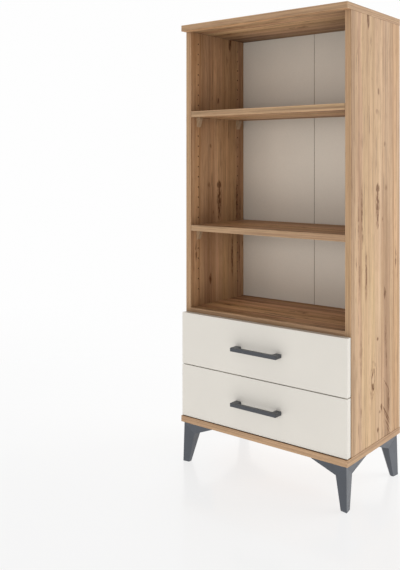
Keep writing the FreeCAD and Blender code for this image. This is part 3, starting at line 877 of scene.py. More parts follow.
    def ringed(self, recipe: Recipe, place: Socket, colour: Socket) -> Socket:
        """The print with its knots, as broken dark rings about a pale heart.

        Args:
            recipe: The material in the making.
            place: Where the print is read.
            colour: The print so far.

        Returns:
            The colour with the knots.
        """
        nearest: Source = 9.0
        for knot in self.knots:
            local = self.oval(recipe, place, (knot.along, knot.across),
                              (knot.stretch * knot.radius, knot.radius), knot.slant)
            nearest = recipe.calc("MINIMUM", recipe.measure("LENGTH", local), nearest)
        wobble = recipe.noise(place, Figure.KNOT_WOBBLE.value, detail=3.0)
        rough = recipe.calc("ADD", nearest, recipe.fade(wobble, 0.2, 0.8, -0.5, 0.5))
        good = self.on_the_good_face(recipe, place)
        heart = recipe.calc("MULTIPLY", recipe.fade(rough, 0.7, 0.35, 0.0, 0.6), good)
        colour = recipe.mix(heart, colour, self.tones[4][1])
        share: Source = 0.0
        for ring in self.knot_rings:
            off = recipe.calc("ABSOLUTE", recipe.calc("SUBTRACT", rough, ring.radius))
            share = recipe.calc("MAXIMUM", recipe.fade(
                off, ring.width, 0.3 * ring.width, 0.0, ring.depth), share)
        breaks = recipe.noise(place, Figure.RING_BREAKS.value, detail=1.0)
        share = recipe.calc("MULTIPLY", share, recipe.fade(breaks, 0.36, 0.58, 0.3, 1.0))
        return recipe.mix(recipe.calc("MULTIPLY", share, good), colour, self.crack_colour)


@dataclass(frozen=True)
class CreamFoil(BoardFinish):
    """Silk-matt cream foil, pressed on smooth."""

    colour: Colour = (0.711, 0.675, 0.612)
    raw_rear: bool = False

    def decor(self, recipe: Recipe) -> Layer:
        """Even cream with a faint cloud and a fine orange peel.

        Args:
            recipe: The material in the making.

        Returns:
            The look of the foil.
        """
        cloud = recipe.noise(recipe.place, (6.0, 6.0, 6.0), detail=4.0)
        speck = recipe.noise(recipe.place, (900.0, 900.0, 900.0), detail=2.0)
        colour = recipe.shade(self.colour, recipe.fade(cloud, 0.3, 0.7, 0.985, 1.012))
        colour = recipe.shade(colour, recipe.fade(speck, 0.3, 0.7, 0.988, 1.01))
        peel = recipe.noise(recipe.place, (420.0, 420.0, 420.0), detail=2.0)
        wiped = recipe.noise(recipe.place, (5.0, 60.0, 40.0), detail=4.0, distortion=1.0)
        roughness = recipe.calc("ADD", recipe.fade(cloud, 0.3, 0.7, 0.36, 0.44),
                                recipe.fade(wiped, 0.55, 0.75, 0.0, 0.05))
        roughness = recipe.calc("SUBTRACT", roughness,
                                recipe.calc("MULTIPLY", self.rubbed(recipe), 0.10))
        return Layer(colour, roughness, recipe.calc("MULTIPLY", peel, 0.25))


@dataclass(frozen=True)
class PaleMelamine(BoardFinish):
    """Pale melamine of the drawer boxes, with a fine linen emboss."""

    colour: Colour = (0.640, 0.600, 0.540)
    raw_rear: bool = False

    def decor(self, recipe: Recipe) -> Layer:
        """Even pale grey beige with crossed fine threads.

        Args:
            recipe: The material in the making.

        Returns:
            The look of the melamine.
        """
        warp = recipe.noise(recipe.place, (40.0, 25.0, 900.0), detail=1.0)
        weft = recipe.noise(recipe.place, (700.0, 700.0, 30.0), detail=1.0)
        weave = recipe.calc("ADD", recipe.calc("MULTIPLY", warp, 0.5),
                            recipe.calc("MULTIPLY", weft, 0.5))
        colour = recipe.shade(self.colour, recipe.fade(weave, 0.3, 0.7, 0.95, 1.04))
        return Layer(colour, recipe.fade(weave, 0.3, 0.7, 0.52, 0.42),
                     recipe.calc("MULTIPLY", weave, 0.6))


@dataclass(frozen=True)
class Hardboard:
    """Thin pressed fibre, lacquered cream on one face and raw on the other."""

    name: str
    face: Axis
    sign: int
    lacquer: Colour = (0.765, 0.711, 0.620)
    fibre_tones: Tones = ((0.30, (0.150, 0.088, 0.045)), (0.52, (0.235, 0.147, 0.080)),
                          (0.75, (0.330, 0.220, 0.130)))
    # Painted shade in corners: its tone in the deepest corner and how far it reaches.
    corner_tone: float = 0.68
    corner_reach: float = 150 * MM
    bump_depth: float = 0.15 * MM

    def material(self) -> bpy.types.Material:
        """Smooth lacquer on the good face, brown fibre with a screen's imprint elsewhere.

        Returns:
            The finished material.
        """
        recipe = Recipe(self.name)
        good = recipe.facing(self.face, self.sign)
        cloud = recipe.noise(recipe.place, (5.0, 5.0, 5.0), detail=4.0)
        fibre = recipe.noise(recipe.place, (260.0, 420.0, 190.0), detail=4.0, roughness=0.65)
        flecks = recipe.noise(recipe.place, (900.0, 900.0, 250.0), detail=2.0)
        screen = recipe.cells(recipe.place, (620.0, 620.0, 620.0)).outputs[0]
        smooth = recipe.shade(self.lacquer, recipe.fade(cloud, 0.3, 0.7, 0.975, 1.02))
        smooth = recipe.shade(smooth, recipe.fade(fibre, 0.3, 0.7, 0.985, 1.01))
        # Painted shade on the lacquer, darker in corners where shade falls.
        smooth = recipe.shade(smooth, recipe.corners(self.corner_reach, self.corner_tone))
        raw = recipe.ramp(fibre, self.fibre_tones)
        raw = recipe.shade(raw, recipe.fade(flecks, 0.62, 0.74, 1.0, 1.3))
        raw = recipe.shade(raw, recipe.fade(screen, 0.2, 0.8, 1.08, 0.82))
        recipe.bump(recipe.between(good, screen, recipe.calc("MULTIPLY", fibre, 0.3)),
                    self.bump_depth)
        return recipe.finish(
            base_color=recipe.mix(good, raw, smooth),
            roughness=recipe.between(good, 0.85, recipe.fade(fibre, 0.3, 0.7, 0.48, 0.40)))


@dataclass(frozen=True)
class KraftTape:
    """Brown paper tape with ribs and fibres."""

    name: str
    paper_tones: Tones = ((0.3, (0.300, 0.196, 0.104)), (0.7, (0.430, 0.300, 0.175)))
    bump_depth: float = 0.15 * MM

    def material(self) -> bpy.types.Material:
        """Ribbed paper, a little creased.

        Returns:
            The finished material.
        """
        recipe = Recipe(self.name)
        fibre = recipe.noise(recipe.place, (500.0, 500.0, 60.0), detail=3.0)
        rib = recipe.noise(recipe.place, (900.0, 0.0, 8.0), detail=1.0)
        crease = recipe.noise(recipe.place, (30.0, 0.0, 9.0), detail=3.0, distortion=1.2)
        colour = recipe.ramp(fibre, self.paper_tones)
        colour = recipe.shade(colour, recipe.fade(rib, 0.3, 0.7, 0.92, 1.06))
        height = recipe.calc("ADD", rib, recipe.calc("MULTIPLY", crease, 1.5))
        recipe.bump(height, self.bump_depth)
        return recipe.finish(base_color=colour, roughness=recipe.fade(fibre, 0.3, 0.7, 0.75, 0.6))


@dataclass(frozen=True)
class GrainedPlastic:
    """Moulded plastic with a fine eroded grain, a little scuffed near the floor."""

    name: str
    colour: Colour
    roughness: float
    gloss: float = 0.5
    scuff_top: float = 30 * MM
    scuff_full: float = 2 * MM
    bump_depth: float = 0.05 * MM

    def material(self) -> bpy.types.Material:
        """A dull grained surface, polished a little in clouds.

        Returns:
            The finished material.
        """
        recipe = Recipe(self.name)
        grain = recipe.noise(recipe.place, (1300.0, 1300.0, 1300.0), detail=3.0, roughness=0.6)
        cloud = recipe.noise(recipe.place, (22.0, 22.0, 14.0), detail=4.0)
        colour = recipe.shade(self.colour, recipe.fade(cloud, 0.3, 0.7, 0.92, 1.10))
        colour = recipe.shade(colour, recipe.fade(grain, 0.35, 0.65, 0.94, 1.07))
        height = recipe.add("SeparateXYZ", {0: recipe.place}).outputs[2]
        scratch = recipe.noise(recipe.place, (70.0, 70.0, 260.0), detail=4.0, distortion=0.8)
        scuff = recipe.calc("MULTIPLY", recipe.fade(scratch, 0.50, 0.64),
                            recipe.fade(height, self.scuff_top, self.scuff_full))
        colour = recipe.shade(colour, recipe.fade(scuff, 0.0, 1.0, 1.0, 1.5))
        recipe.bump(grain, self.bump_depth)
        roughness = recipe.fade(cloud, 0.3, 0.7, self.roughness + 0.06, self.roughness - 0.06)
        return recipe.finish(
            base_color=colour, specular_ior_level=self.gloss,
            roughness=recipe.calc("ADD", roughness, recipe.calc("MULTIPLY", scuff, 0.15)))


@dataclass(frozen=True)
class PowderCoat:
    """Satin powder coat on metal."""

    name: str
    colour: Colour
    roughness: float = 0.40
    bump_depth: float = 0.06 * MM

    def material(self) -> bpy.types.Material:
        """Fine orange peel with a soft gloss.

        Returns:
            The finished material.
        """
        recipe = Recipe(self.name)
        peel = recipe.noise(recipe.place, (700.0, 700.0, 700.0), detail=2.0)
        cloud = recipe.noise(recipe.place, (60.0, 60.0, 60.0), detail=3.0)
        colour = recipe.shade(self.colour, recipe.fade(peel, 0.35, 0.65, 0.93, 1.08))
        recipe.bump(peel, self.bump_depth)
        return recipe.finish(base_color=colour, roughness=recipe.fade(
            cloud, 0.3, 0.7, self.roughness + 0.05, self.roughness - 0.05))


@dataclass(frozen=True)
class SmokyPlastic:
    """Smoky moulded plastic that lets a little light in."""

    name: str
    colour: Colour = (0.40, 0.270, 0.160)
    light_share: float = 0.3
    light_reach: Triple = (2 * MM, 1.5 * MM, MM)
    # Painted shade in corners: its tone in the deepest corner and how far it reaches.
    corner_tone: float = 0.90
    corner_reach: float = 60 * MM
    bump_depth: float = 0.03 * MM

    def material(self) -> bpy.types.Material:
        """Soft plastic with faint flow marks.

        Returns:
            The finished material.
        """
        recipe = Recipe(self.name)
        flow = recipe.noise(recipe.place, (120.0, 120.0, 420.0), detail=3.0, distortion=0.6)
        recipe.bump(flow, self.bump_depth)
        colour = recipe.shade(self.colour, recipe.fade(flow, 0.3, 0.7, 0.92, 1.06))
        # Painted shade darkens the plastic's colour near the shelf.
        return recipe.finish(
            base_color=recipe.shade(colour, recipe.corners(self.corner_reach, self.corner_tone)),
            roughness=recipe.fade(flow, 0.3, 0.7, 0.40, 0.30), subsurface_weight=self.light_share,
            subsurface_radius=self.light_reach, subsurface_scale=1.0)


@dataclass(frozen=True)
class ZincPlate:
    """Zinc-plated steel, rolled or turned."""

    name: str
    colour: Colour = (0.60, 0.61, 0.62)
    roughness: float = 0.34
    rolled: Stretch = (300.0, 6.0, 300.0)
    tints: Tones = ((0.35, (0.92, 0.97, 1.0)), (0.5, (1.0, 1.0, 1.0)), (0.68, (1.0, 0.97, 0.90)))
    bump_depth: float = 0.03 * MM

    def material(self) -> bpy.types.Material:
        """Rolled lines and clouds of faint blue and yellow.

        Returns:
            The finished material.
        """
        recipe = Recipe(self.name)
        lines = recipe.noise(recipe.place, self.rolled, detail=3.0, roughness=0.65)
        cloud = recipe.noise(recipe.place, (45.0, 25.0, 45.0), detail=4.0)
        colour = recipe.vector("MULTIPLY", recipe.ramp(cloud, self.tints), self.colour)
        colour = recipe.shade(colour, recipe.fade(lines, 0.3, 0.7, 0.88, 1.06))
        recipe.bump(lines, self.bump_depth)
        return recipe.finish(base_color=colour, metallic=1.0, roughness=recipe.fade(
            lines, 0.3, 0.7, self.roughness + 0.08, self.roughness - 0.06))


@dataclass(frozen=True)
class DowelBeech:
    """Plain beech with short dark rays."""

    name: str
    colour: Colour = (0.52, 0.36, 0.21)
    bump_depth: float = 0.06 * MM

    def material(self) -> bpy.types.Material:
        """Fine straight grain with flecks.

        Returns:
            The finished material.
        """
        recipe = Recipe(self.name)
        grain = recipe.noise(recipe.place, (500.0, 500.0, 40.0), detail=3.0)
        flecks = recipe.noise(recipe.place, (900.0, 900.0, 180.0), detail=1.0)
        colour = recipe.shade(self.colour, recipe.fade(grain, 0.3, 0.7, 0.86, 1.1))
        colour = recipe.shade(colour, recipe.fade(flecks, 0.64, 0.74, 1.0, 0.7))
        recipe.bump(grain, self.bump_depth)
        return recipe.finish(base_color=colour, roughness=recipe.fade(grain, 0.3, 0.7, 0.7, 0.55))


def paint(node: str, material: bpy.types.Material) -> None:
    """Gives a node of the frame its finish.

    Args:
        node: The node's name.
        material: The finish.
    """
    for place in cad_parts[node].material_slots:
        place.material = material
    log.info("%s: %s", node, material.name)


def ease_edges(node: str, width: float, segments: int = 2, angle: float = 40.0) -> None:
    """Rounds the sharp edges of a node with modifiers, so that they catch light.

    Args:
        node: The node's name.
        width: How far the rounding reaches from the edge.
        segments: How many faces the rounding has.
        angle: Edges that turn by more degrees than this are rounded.
    """
    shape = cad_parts[node]
    weld = shape.modifiers.new("weld", "WELD")
    weld.merge_threshold = WELD_REACH
    bevel = shape.modifiers.new("eased_edges", "BEVEL")
    bevel.width = width
    bevel.segments = segments
    bevel.limit_method = "ANGLE"
    bevel.angle_limit = math.radians(angle)
    bevel.use_clamp_overlap = True
    normals = shape.modifiers.new("even_normals", "WEIGHTED_NORMAL")
    normals.keep_sharp = True


def solids_of(node: str) -> list[list[Vector]]:
    """The corner points of each separate solid in a node.

    Args:
        node: The node's name.

    Returns:
        One list of points for each solid, in the order of the node's mesh.
    """
    work = bmesh.new()
    work.from_mesh(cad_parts[node].data)
    bmesh.ops.remove_doubles(work, verts=work.verts, dist=MERGE_REACH)
    work.verts.ensure_lookup_table()
    seen: set[int] = set()
    solids = []
    for first in work.verts:
        if first.index in seen:
            continue
        seen.add(first.index)
        group, waiting = [], [first]
        while waiting:
            point = waiting.pop()
            group.append(point.co.copy())
            for edge in point.link_edges:
                other = edge.other_vert(point)
                if other.index not in seen:
                    seen.add(other.index)
                    waiting.append(other)
        solids.append(group)
    work.free()
    return solids


def shown(mesh: bmesh.types.BMesh, name: str, material: bpy.types.Material) -> bpy.types.Object:
    """Makes an object of a mesh, smooth but for its sharp edges.

    Args:
        mesh: The mesh, which is used up.
        name: The object's name.
        material: Its finish.

    Returns:
        The object, linked to the scene.
    """
    data = bpy.data.meshes.new(name)
    mesh.to_mesh(data)
    mesh.free()
    data.shade_smooth()
    data.set_sharp_from_angle(angle=math.radians(SHARP_TURN))
    data.materials.append(material)
    piece = bpy.data.objects.new(name, data)
    bpy.context.scene.collection.objects.link(piece)
    log.info("%s: %d faces, %s", name, len(data.polygons), material.name)
    return piece


@dataclass(frozen=True)
class Pin:
    """A turned pin: the middle of its outer end, the way out of it, and its steps.

    The steps are pairs of a radius and a depth below the outer end.
    """

    END_REACH: ClassVar[float] = 0.05 * MM
    LEAST_RADIUS: ClassVar[float] = 0.5 * MM
    PLACES: ClassVar[int] = 5

    head: Vector
    out: Vector
    steps: tuple[tuple[float, float], ...]

    @classmethod
    def measured(cls, points: list[Vector], axis: Axis | None = None) -> "Pin":
        """Reads a pin from the points of its solid.

        Args:
            points: Corner points of the solid.
            axis: Its direction, or None for that of its longest side.

        Returns:
            The pin, with its widest end outside.
        """
        low = Vector([min(p[i] for p in points) for i in range(3)])
        high = Vector([max(p[i] for p in points) for i in range(3)])
        size = high - low
        index = axis.value if axis else max(range(3), key=lambda i: size[i])
        middle = (low + high) / 2
        arrow = Axis(index).arrow

        def widest(depth: float) -> float:
            """The largest radius at an end."""
            return max(((p - middle) - arrow * (p - middle)[index]).length
                       for p in points if abs(p[index] - depth) < cls.END_REACH)

        outside = high if widest(high[index]) >= widest(low[index]) else low
        out = arrow if outside is high else -arrow
        head = middle + arrow * (outside[index] - middle[index])
        steps = set()
        for point in points:
            away = point - head
            depth = -away.dot(out)
            radius = (away + out * depth).length
            steps.add((round(radius, cls.PLACES), round(depth, cls.PLACES)))
        ordered = sorted(steps, key=lambda s: (s[1], -s[0]))
        return cls(head, out, tuple(s for s in ordered if s[0] > cls.LEAST_RADIUS))


@dataclass(frozen=True)
class Drive:
    """A cross for the driver: half an arm's width, its reach and its soft edge, in head radii."""

    arm: float
    reach: float
    soft: float

    def depth(self, across: float, up: float) -> float:
        """How deep the cross is at a place on the head.

        Args:
            across: The place, in radii of the head.
            up: The place at right angles to that.

        Returns:
            The share of the full depth.
        """
        inner, outer = sorted((abs(across), abs(up)))
        wide = min(1.0, max(0.0, (self.arm + self.soft - inner) / self.soft))
        long = min(1.0, max(0.0, (self.reach - outer) / (2.5 * self.soft)))
        return wide * long


@dataclass
class Fixings:
    """All fixings of one node, turned with a recess for the driver.

    The crown, the recess, the thread and the tip are shares of the head's height or of a radius.
    """

    node: str
    body: str
    style: HeadStyle
    slot: str = "zinc_hardware"
    axis: Axis | None = None
    sides: int = 40
    rings: int = 11
    screw_drive: Drive = Drive(arm=0.17, reach=0.62, soft=0.08)
    cam_drive: Drive = Drive(arm=0.15, reach=0.70, soft=0.06)
    recess_depth: float = 0.62
    cam_height: float = 0.4
    pan_fall: float = 0.5
    flat_share: float = 0.93
    rim_slope: float = 2.0
    thread_pitch: float = 1.6 * MM
    thread_depth: float = 0.10
    thread_start: float = 0.2 * MM
    tip: float = 0.25

    @property
    def drive(self) -> Drive:
        """The cross for the driver in these heads."""
        return self.cam_drive if self.style is HeadStyle.CAM else self.screw_drive

    def crown(self, share: float) -> float:
        """How far the head has fallen from its middle.

        Args:
            share: How far out on the head, of its radius.

        Returns:
            The fall, of the head's height.
        """
        if self.style is HeadStyle.PAN:
            return self.pan_fall * share ** 4
        return self.rim_slope * max(0.0, share - self.flat_share)

    def outline(self, pin: Pin) -> list[tuple[float, float]]:
        """The pin's outline below its head, with a thread on the last step and a point.

        Args:
            pin: The measured pin.

        Returns:
            Radii and depths, from the rim of the head to the tip.
        """
        steps = list(pin.steps[1:])
        if self.style is HeadStyle.CAM:
            return steps
        radius, end = steps[-1]
        start = max((d for r, d in steps if r > radius * 1.05), default=pin.steps[0][1])
        line = [s for s in steps if s[1] <= start + 1e-6]
        line.append((radius * (1 - self.thread_depth), start + self.thread_start))
        for turn in range(int((end - start - radius) / self.thread_pitch)):
            at = start + (turn + 0.5) * self.thread_pitch
            line.append((radius, at))
            line.append((radius * (1 - 2 * self.thread_depth), at + self.thread_pitch / 2))
        line.append((radius * self.tip, end))
        return line

    def turn(self, mesh: bmesh.types.BMesh, pin: Pin) -> None:
        """Adds one pin to a mesh.

        Args:
            mesh: The mesh in the making.
            pin: The measured pin.
        """
        side = pin.out.orthogonal().normalized()
        up = pin.out.cross(side)
        radius = pin.steps[0][0]
        height = next((d for r, d in pin.steps if r < radius * 0.99), pin.steps[-1][1])
        if self.style is HeadStyle.CAM:
            height = min(height, self.cam_height * radius)

        def ring(reach: float, depth: float, cut: float) -> list[bmesh.types.BMVert]:
            """One ring of points about the axis.

            Args:
                reach: Its radius.
                depth: How far it lies below the outer end.
                cut: How much further the cross for the driver goes down.

            Returns:
                The ring's points in order.
            """
            points = []
            for step in range(self.sides):
                angle = 2 * math.pi * step / self.sides
                x, y = reach * math.cos(angle), reach * math.sin(angle)
                sunk = depth + cut * self.drive.depth(x / radius, y / radius)
                points.append(mesh.verts.new(pin.head + side * x + up * y - pin.out * sunk))
            return points

        cut = self.recess_depth * height
        loops = []
        for number in range(1, self.rings + 1):
            share = number / self.rings
            loops.append(ring(radius * share, height * self.crown(share), cut))
        loops += [ring(r, d, 0.0) for r, d in self.outline(pin)]
        heart = mesh.verts.new(pin.head - pin.out * cut * self.drive.depth(0.0, 0.0))
        tip = mesh.verts.new(pin.head - pin.out * pin.steps[-1][1])
        for step in range(self.sides):
            after = (step + 1) % self.sides
            mesh.faces.new((heart, loops[0][step], loops[0][after]))
            for near, far in zip(loops, loops[1:]):
                mesh.faces.new((near[step], far[step], far[after], near[after]))
            mesh.faces.new((loops[-1][step], tip, loops[-1][after]))

    def build(self, material: bpy.types.Material) -> None:
        """Makes the fixings and puts them in the place of their node.

        Args:
            material: Their finish.
        """
        mesh = bmesh.new()
        for points in solids_of(self.node):
            self.turn(mesh, Pin.measured(points, self.axis))
        bmesh.ops.recalc_face_normals(mesh, faces=mesh.faces)
        piece = shown(mesh, f"turned_{self.node}", material)
        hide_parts(self.node)
        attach(piece, self.body)


SIDE_CRACKS = cracks_in_mm(
    (1318, -28, 46, 15, 0.95), (1250, -12, 70, 10, 0.4), (1122, 37, 17, 15, 0.65),
    (1065, 26, 13, 14, 0.65), (975, 76, 14, 14, 0.4), (850, 31, 26, 19, 1.0),
    (800, 31, 85, 24, 0.8), (757, 30, 34, 15, 0.9), (762, 61, 15, 9, 0.45),
    (850, 84, 16, 18, 0.4), (790, -66, 120, 12, 0.65), (760, -86, 130, 10, 0.55),
    (725, -63, 80, 12, 0.5), (650, -98, 34, 7, 0.55), (615, -82, 120, 9, 0.5),
    (615, -41, 120, 10, 0.9), (550, 76, 30, 13, 0.9), (640, 150, 46, 9, 0.8),
    (427, 30, 9, 12, 0.65), (400, -70, 110, 18, 0.4), (425, 81, 110, 14, 0.4),
    (360, 86, 46, 17, 0.45), (229, 54, 19, 10, 0.9), (219, 42, 9, 9, 0.65),
    (235, 100, 48, 13, 0.8), (245, -70, 34, 13, 0.45), (171, 31, 13, 13, 0.7),
    (284, 88, 56, 5, 0.7, -42), (206, 84, 60, 5, 0.85, -42), (190, 90, 50, 5, 0.75, -42),
    (170, 94, 50, 5, 0.7, -42), (152, 100, 34, 5, 0.6, -42))
SIDE_KNOTS = (Knot(0.318, 0.001, 9 * MM),)
CROSS_CRACKS = cracks_in_mm(
    (45, 22, 34, 14, 0.75), (12, 15, 20, 12, 0.7), (56, 9, 15, 11, 0.6),
    (-50, -62, 60, 13, 0.5), (-198, -15, 44, 20, 0.6), (15, -95, 95, 15, 0.55),
    (-130, -100, 130, 13, 0.45), (106, -48, 26, 14, 0.45), (-150, 72, 90, 24, 0.45),
    (150, 15, 22, 11, 0.4), (-200, 42, 26, 14, 0.5), (-100, -85, 26, 12, 0.4),
    (56, -124, 32, 14, 0.55), (116, -118, 34, 12, 0.4), (-110, -14, 240, 9, 0.45),
    (70, -19, 120, 9, 0.4))


@dataclass
class Carcass:
    """Top, base, sides, deck and back of the bookcase.

    The caps' profile has shares of their radius and of their height.
    """

    edge: float = 0.5 * MM
    back_edge: float = 0.3 * MM
    side_mirror: float = 48 * MM
    cap_radius: float = 6.5 * MM
    cap_height: float = 0.7 * MM
    cap_lift: float = 0.02 * MM
    cap_sides: int = 40
    cap_profile: tuple[tuple[float, float], ...] = (
        (1.0, 0.0), (1.0, 0.45), (0.96, 0.75), (0.88, 0.92), (0.6, 1.0))

    def board(self, node: str, grain: Axis, through: Axis, seed: float,
              **print_options: object) -> None:
        """Dresses one board in oak.

        Args:
            node: The board's node.
            grain: The direction of its grain.
            through: The direction of its thickness.
            seed: Which stretch of the print it has.
            print_options: Further fields of the print.
        """
        low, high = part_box(node)
        oak = OakDecor(f"oak_{node}", low, high, grain=grain, through=through, seed=seed,
                       **print_options)
        paint(node, oak.material())
        ease_edges(node, self.edge)

    def cap(self, mesh: bmesh.types.BMesh, middle: Vector, foot: float) -> None:
        """Adds one cover cap to a mesh.

        Args:
            mesh: The mesh in the making.
            middle: The head of the screw that it covers.
            foot: The height of its lower face.
        """
        turns = [2 * math.pi * step / self.cap_sides for step in range(self.cap_sides)]
        loops = []
        for share, rise in self.cap_profile:
            reach = self.cap_radius * share
            loops.append([mesh.verts.new((
                middle.x + reach * math.cos(turn), middle.y + reach * math.sin(turn),
                foot + self.cap_height * rise)) for turn in turns])
        for low, high in zip(loops, loops[1:]):
            for step in range(self.cap_sides):
                after = (step + 1) % self.cap_sides
                mesh.faces.new((low[step], low[after], high[after], high[step]))
        mesh.faces.new(loops[-1])
        mesh.faces.new(list(reversed(loops[0])))

    def caps(self) -> None:
        """Puts flat cover caps over the screws in the top panel."""
        low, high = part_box("top_panel")
        mesh = bmesh.new()
        for points in solids_of("carcass_screws"):
            head = Pin.measured(points).head
            if head.z >= high.z - MM:
                self.cap(mesh, head, high.z + self.cap_lift)
        oak = OakDecor("oak_caps", low, high + Vector((0.0, 0.0, 10 * MM)), grain=Axis.X,
                       through=Axis.Z, seed=7.7, skin=1.0, raw_rear=False)
        piece = shown(mesh, "top_cover_caps", oak.material())
        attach(piece, "carcass")

    def build(self) -> None:
        """Dresses the boards, the back and its tape, and adds the caps."""
        # The top's underside has painted light, a paler print, and strong painted shade towards
        # its rear and corners.
        self.board("top_panel", Axis.X, Axis.Z, 3.4, good_face=-1, pale_face=-1,
                   paleness=(1.21, 1.24, 1.26), veil=0.0, corner_tone=0.22,
                   corner_reach=220 * MM, contrast=1.2, cracks=CROSS_CRACKS, wildness=0.6)
        self.board("base_panel", Axis.X, Axis.Z, 2.6, stave_shift=80 * MM,
                   edge_tone=(0.81, 0.89, 1.00))
        # The deck's top has painted light and painted corner shade, and its darker edge tone is
        # painted shade in the gap behind the drawer fronts.
        self.board("drawer_deck", Axis.X, Axis.Z, 3.4, cracks=CROSS_CRACKS,
                   pale_face=1, paleness=(1.08, 1.06, 1.04), veil=0.0, corner_tone=0.58,
                   edge_tone=(0.76, 0.78, 0.84), contrast=1.4, wildness=0.9)
        # Each side's outer face has painted light and sheen: a paler, bluer, more even print.
        self.board("left_side_panel", Axis.Z, Axis.X, 5.2, pale_face=-1,
                   mirror=self.side_mirror, cracks=SIDE_CRACKS, knots=SIDE_KNOTS)
        self.board("right_side_panel", Axis.Z, Axis.X, 5.2, pale_face=1, cracks=SIDE_CRACKS,
                   knots=SIDE_KNOTS)
        back = Hardboard("back_hardboard", Axis.Y, -1).material()
        for hand in Hand:
            paint(f"back_panel_{hand.value}", back)
            ease_edges(f"back_panel_{hand.value}", self.back_edge)
        paint("back_seam_tape", KraftTape("kraft_tape").material())
        self.caps()


@dataclass
class Shelving:
    """Two loose shelves on their supports."""

    edge: float = 0.5 * MM
    support_edge: float = 0.4 * MM
    stave_shift: float = -15 * MM
    seeds: dict[Level, float] = field(default_factory=lambda: {Level.UPPER: 6.1, Level.LOWER: 8.3})

    def build(self) -> None:
        """Dresses the shelves and their supports."""
        plastic = SmokyPlastic("support_plastic").material()
        for level in Level:
            node = f"{level.value}_shelf"
            low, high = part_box(node)
            oak = OakDecor(f"oak_{node}", low, high, grain=Axis.X, through=Axis.Z,
                           seed=self.seeds[level], stave_shift=self.stave_shift, contrast=1.4,
                           cracks=CROSS_CRACKS, wildness=0.8)
            paint(node, oak.material())
            ease_edges(node, self.edge)
            paint(f"{node}_supports", plastic)
            ease_edges(f"{node}_supports", self.support_edge)


@dataclass
class CornerLegs:
    """Four moulded legs under the base, eased at every crease that turns by more degrees."""

    edge: float = 0.7 * MM
    crease: float = 10.0
    colour: Colour = (0.022, 0.030, 0.045)

    def build(self) -> None:
        """Dresses the legs."""
        plastic = GrainedPlastic("anthracite_plastic", self.colour, roughness=0.34,
                                 gloss=1.0).material()
        for row in ("front", "back"):
            for hand in Hand:
                node = f"leg_{row}_{hand.value}"
                paint(node, plastic)
                ease_edges(node, self.edge, angle=self.crease)


@dataclass
class Drawer:
    """One drawer with its front, box and handle."""

    level: Level
    edge: float = 0.6 * MM
    box_edge: float = 0.4 * MM
    handle_colour: Colour = (0.050, 0.054, 0.063)

    def build(self) -> None:
        """Dresses the drawer's boards, its bottom and its handle."""
        word = self.level.value
        node = f"{word}_drawer_front"
        paint(node, CreamFoil(f"cream_{node}", *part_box(node)).material())
        ease_edges(node, self.edge, segments=3)
        for part in ("left_side", "right_side", "back"):
            node = f"{word}_drawer_{part}"
            paint(node, PaleMelamine(f"pale_{node}", *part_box(node)).material())
            ease_edges(node, self.box_edge)
        bottom = f"{word}_drawer_bottom"
        paint(bottom, Hardboard(f"hardboard_{bottom}", Axis.Z, 1).material())
        paint(f"{word}_handle", PowderCoat(f"coat_{word}_handle", self.handle_colour).material())


@dataclass
class Slides:
    """The telescopic slides of one drawer, with the finishes of their rails and of their balls."""

    level: Level
    plate: bpy.types.Material
    balls: bpy.types.Material
    edge: float = 0.2 * MM

    def build(self) -> None:
        """Dresses the rails and the ball cages."""
        word = self.level.value
        for hand in Hand:
            for rail in ("cabinet", "middle", "drawer"):
                node = f"{word}_{hand.value}_{rail}_rail"
                paint(node, self.plate)
                ease_edges(node, self.edge)
        for race in ("outer", "inner"):
            paint(f"{word}_{race}_ball_cages", self.balls)


@dataclass
class FixingSets:
    """All screws, cams, bolts and dowels."""

    cam_edge: float = 0.3 * MM
    screw_colour: Colour = (0.62, 0.61, 0.58)
    cam_colour: Colour = (0.54, 0.54, 0.55)

    def build(self) -> None:
        """Turns the fixings that show and dresses the hidden ones."""
        zinc = ZincPlate("zinc_screws", self.screw_colour, roughness=0.30,
                         rolled=(260.0, 260.0, 260.0)).material()
        cast = ZincPlate("cast_zinc", self.cam_colour, roughness=0.42,
                         rolled=(420.0, 420.0, 420.0)).material()
        sets = [
            (Fixings("carcass_screws", "carcass", HeadStyle.FLUSH), zinc),
            (Fixings("leg_screws", "carcass", HeadStyle.PAN), zinc),
            (Fixings("cabinet_rail_screws", "carcass", HeadStyle.PAN), zinc),
            (Fixings("deck_cam_locks", "carcass", HeadStyle.CAM, axis=Axis.Z), cast),
        ]
        for level in Level:
            word, body = level.value, f"{level.value}_drawer"
            sets += [
                (Fixings(f"{word}_handle_screws", body, HeadStyle.PAN), zinc),
                (Fixings(f"{word}_drawer_rail_screws", body, HeadStyle.PAN), zinc),
                (Fixings(f"{word}_drawer_back_screws", body, HeadStyle.FLUSH), zinc),
            ]
        for fixings, material in sets:
            fixings.build(material)
        paint("deck_cam_bolts", zinc)
        for level in Level:
            paint(f"{level.value}_drawer_cam_bolts", zinc)
            paint(f"{level.value}_drawer_cam_locks", cast)
            ease_edges(f"{level.value}_drawer_cam_locks", self.cam_edge)
        paint("carcass_dowels", DowelBeech("dowel_beech").material())


@dataclass(frozen=True)
class Lamp:
    """A soft rectangular lamp.

    Where it stands, the point it faces, its width and height, how bright its face is, and
    whether glossy surfaces show it.
    """

    name: str
    place: Triple
    aim: Triple
    size: tuple[float, float]
    radiance: float
    mirrored: bool = True

    def build(self) -> None:
        """Puts the lamp in its place."""
        data = bpy.data.lights.new(self.name, "AREA")
        data.shape = "RECTANGLE"
        data.size, data.size_y = self.size
        data.energy = self.radiance * math.pi * self.size[0] * self.size[1]
        lamp = bpy.data.objects.new(self.name, data)
        lamp.location = self.place
        towards = Vector(self.aim) - Vector(self.place)
        lamp.rotation_euler = towards.to_track_quat("-Z", "Y").to_euler()
        lamp.visible_camera = False
        lamp.visible_glossy = self.mirrored
        bpy.context.scene.collection.objects.link(lamp)


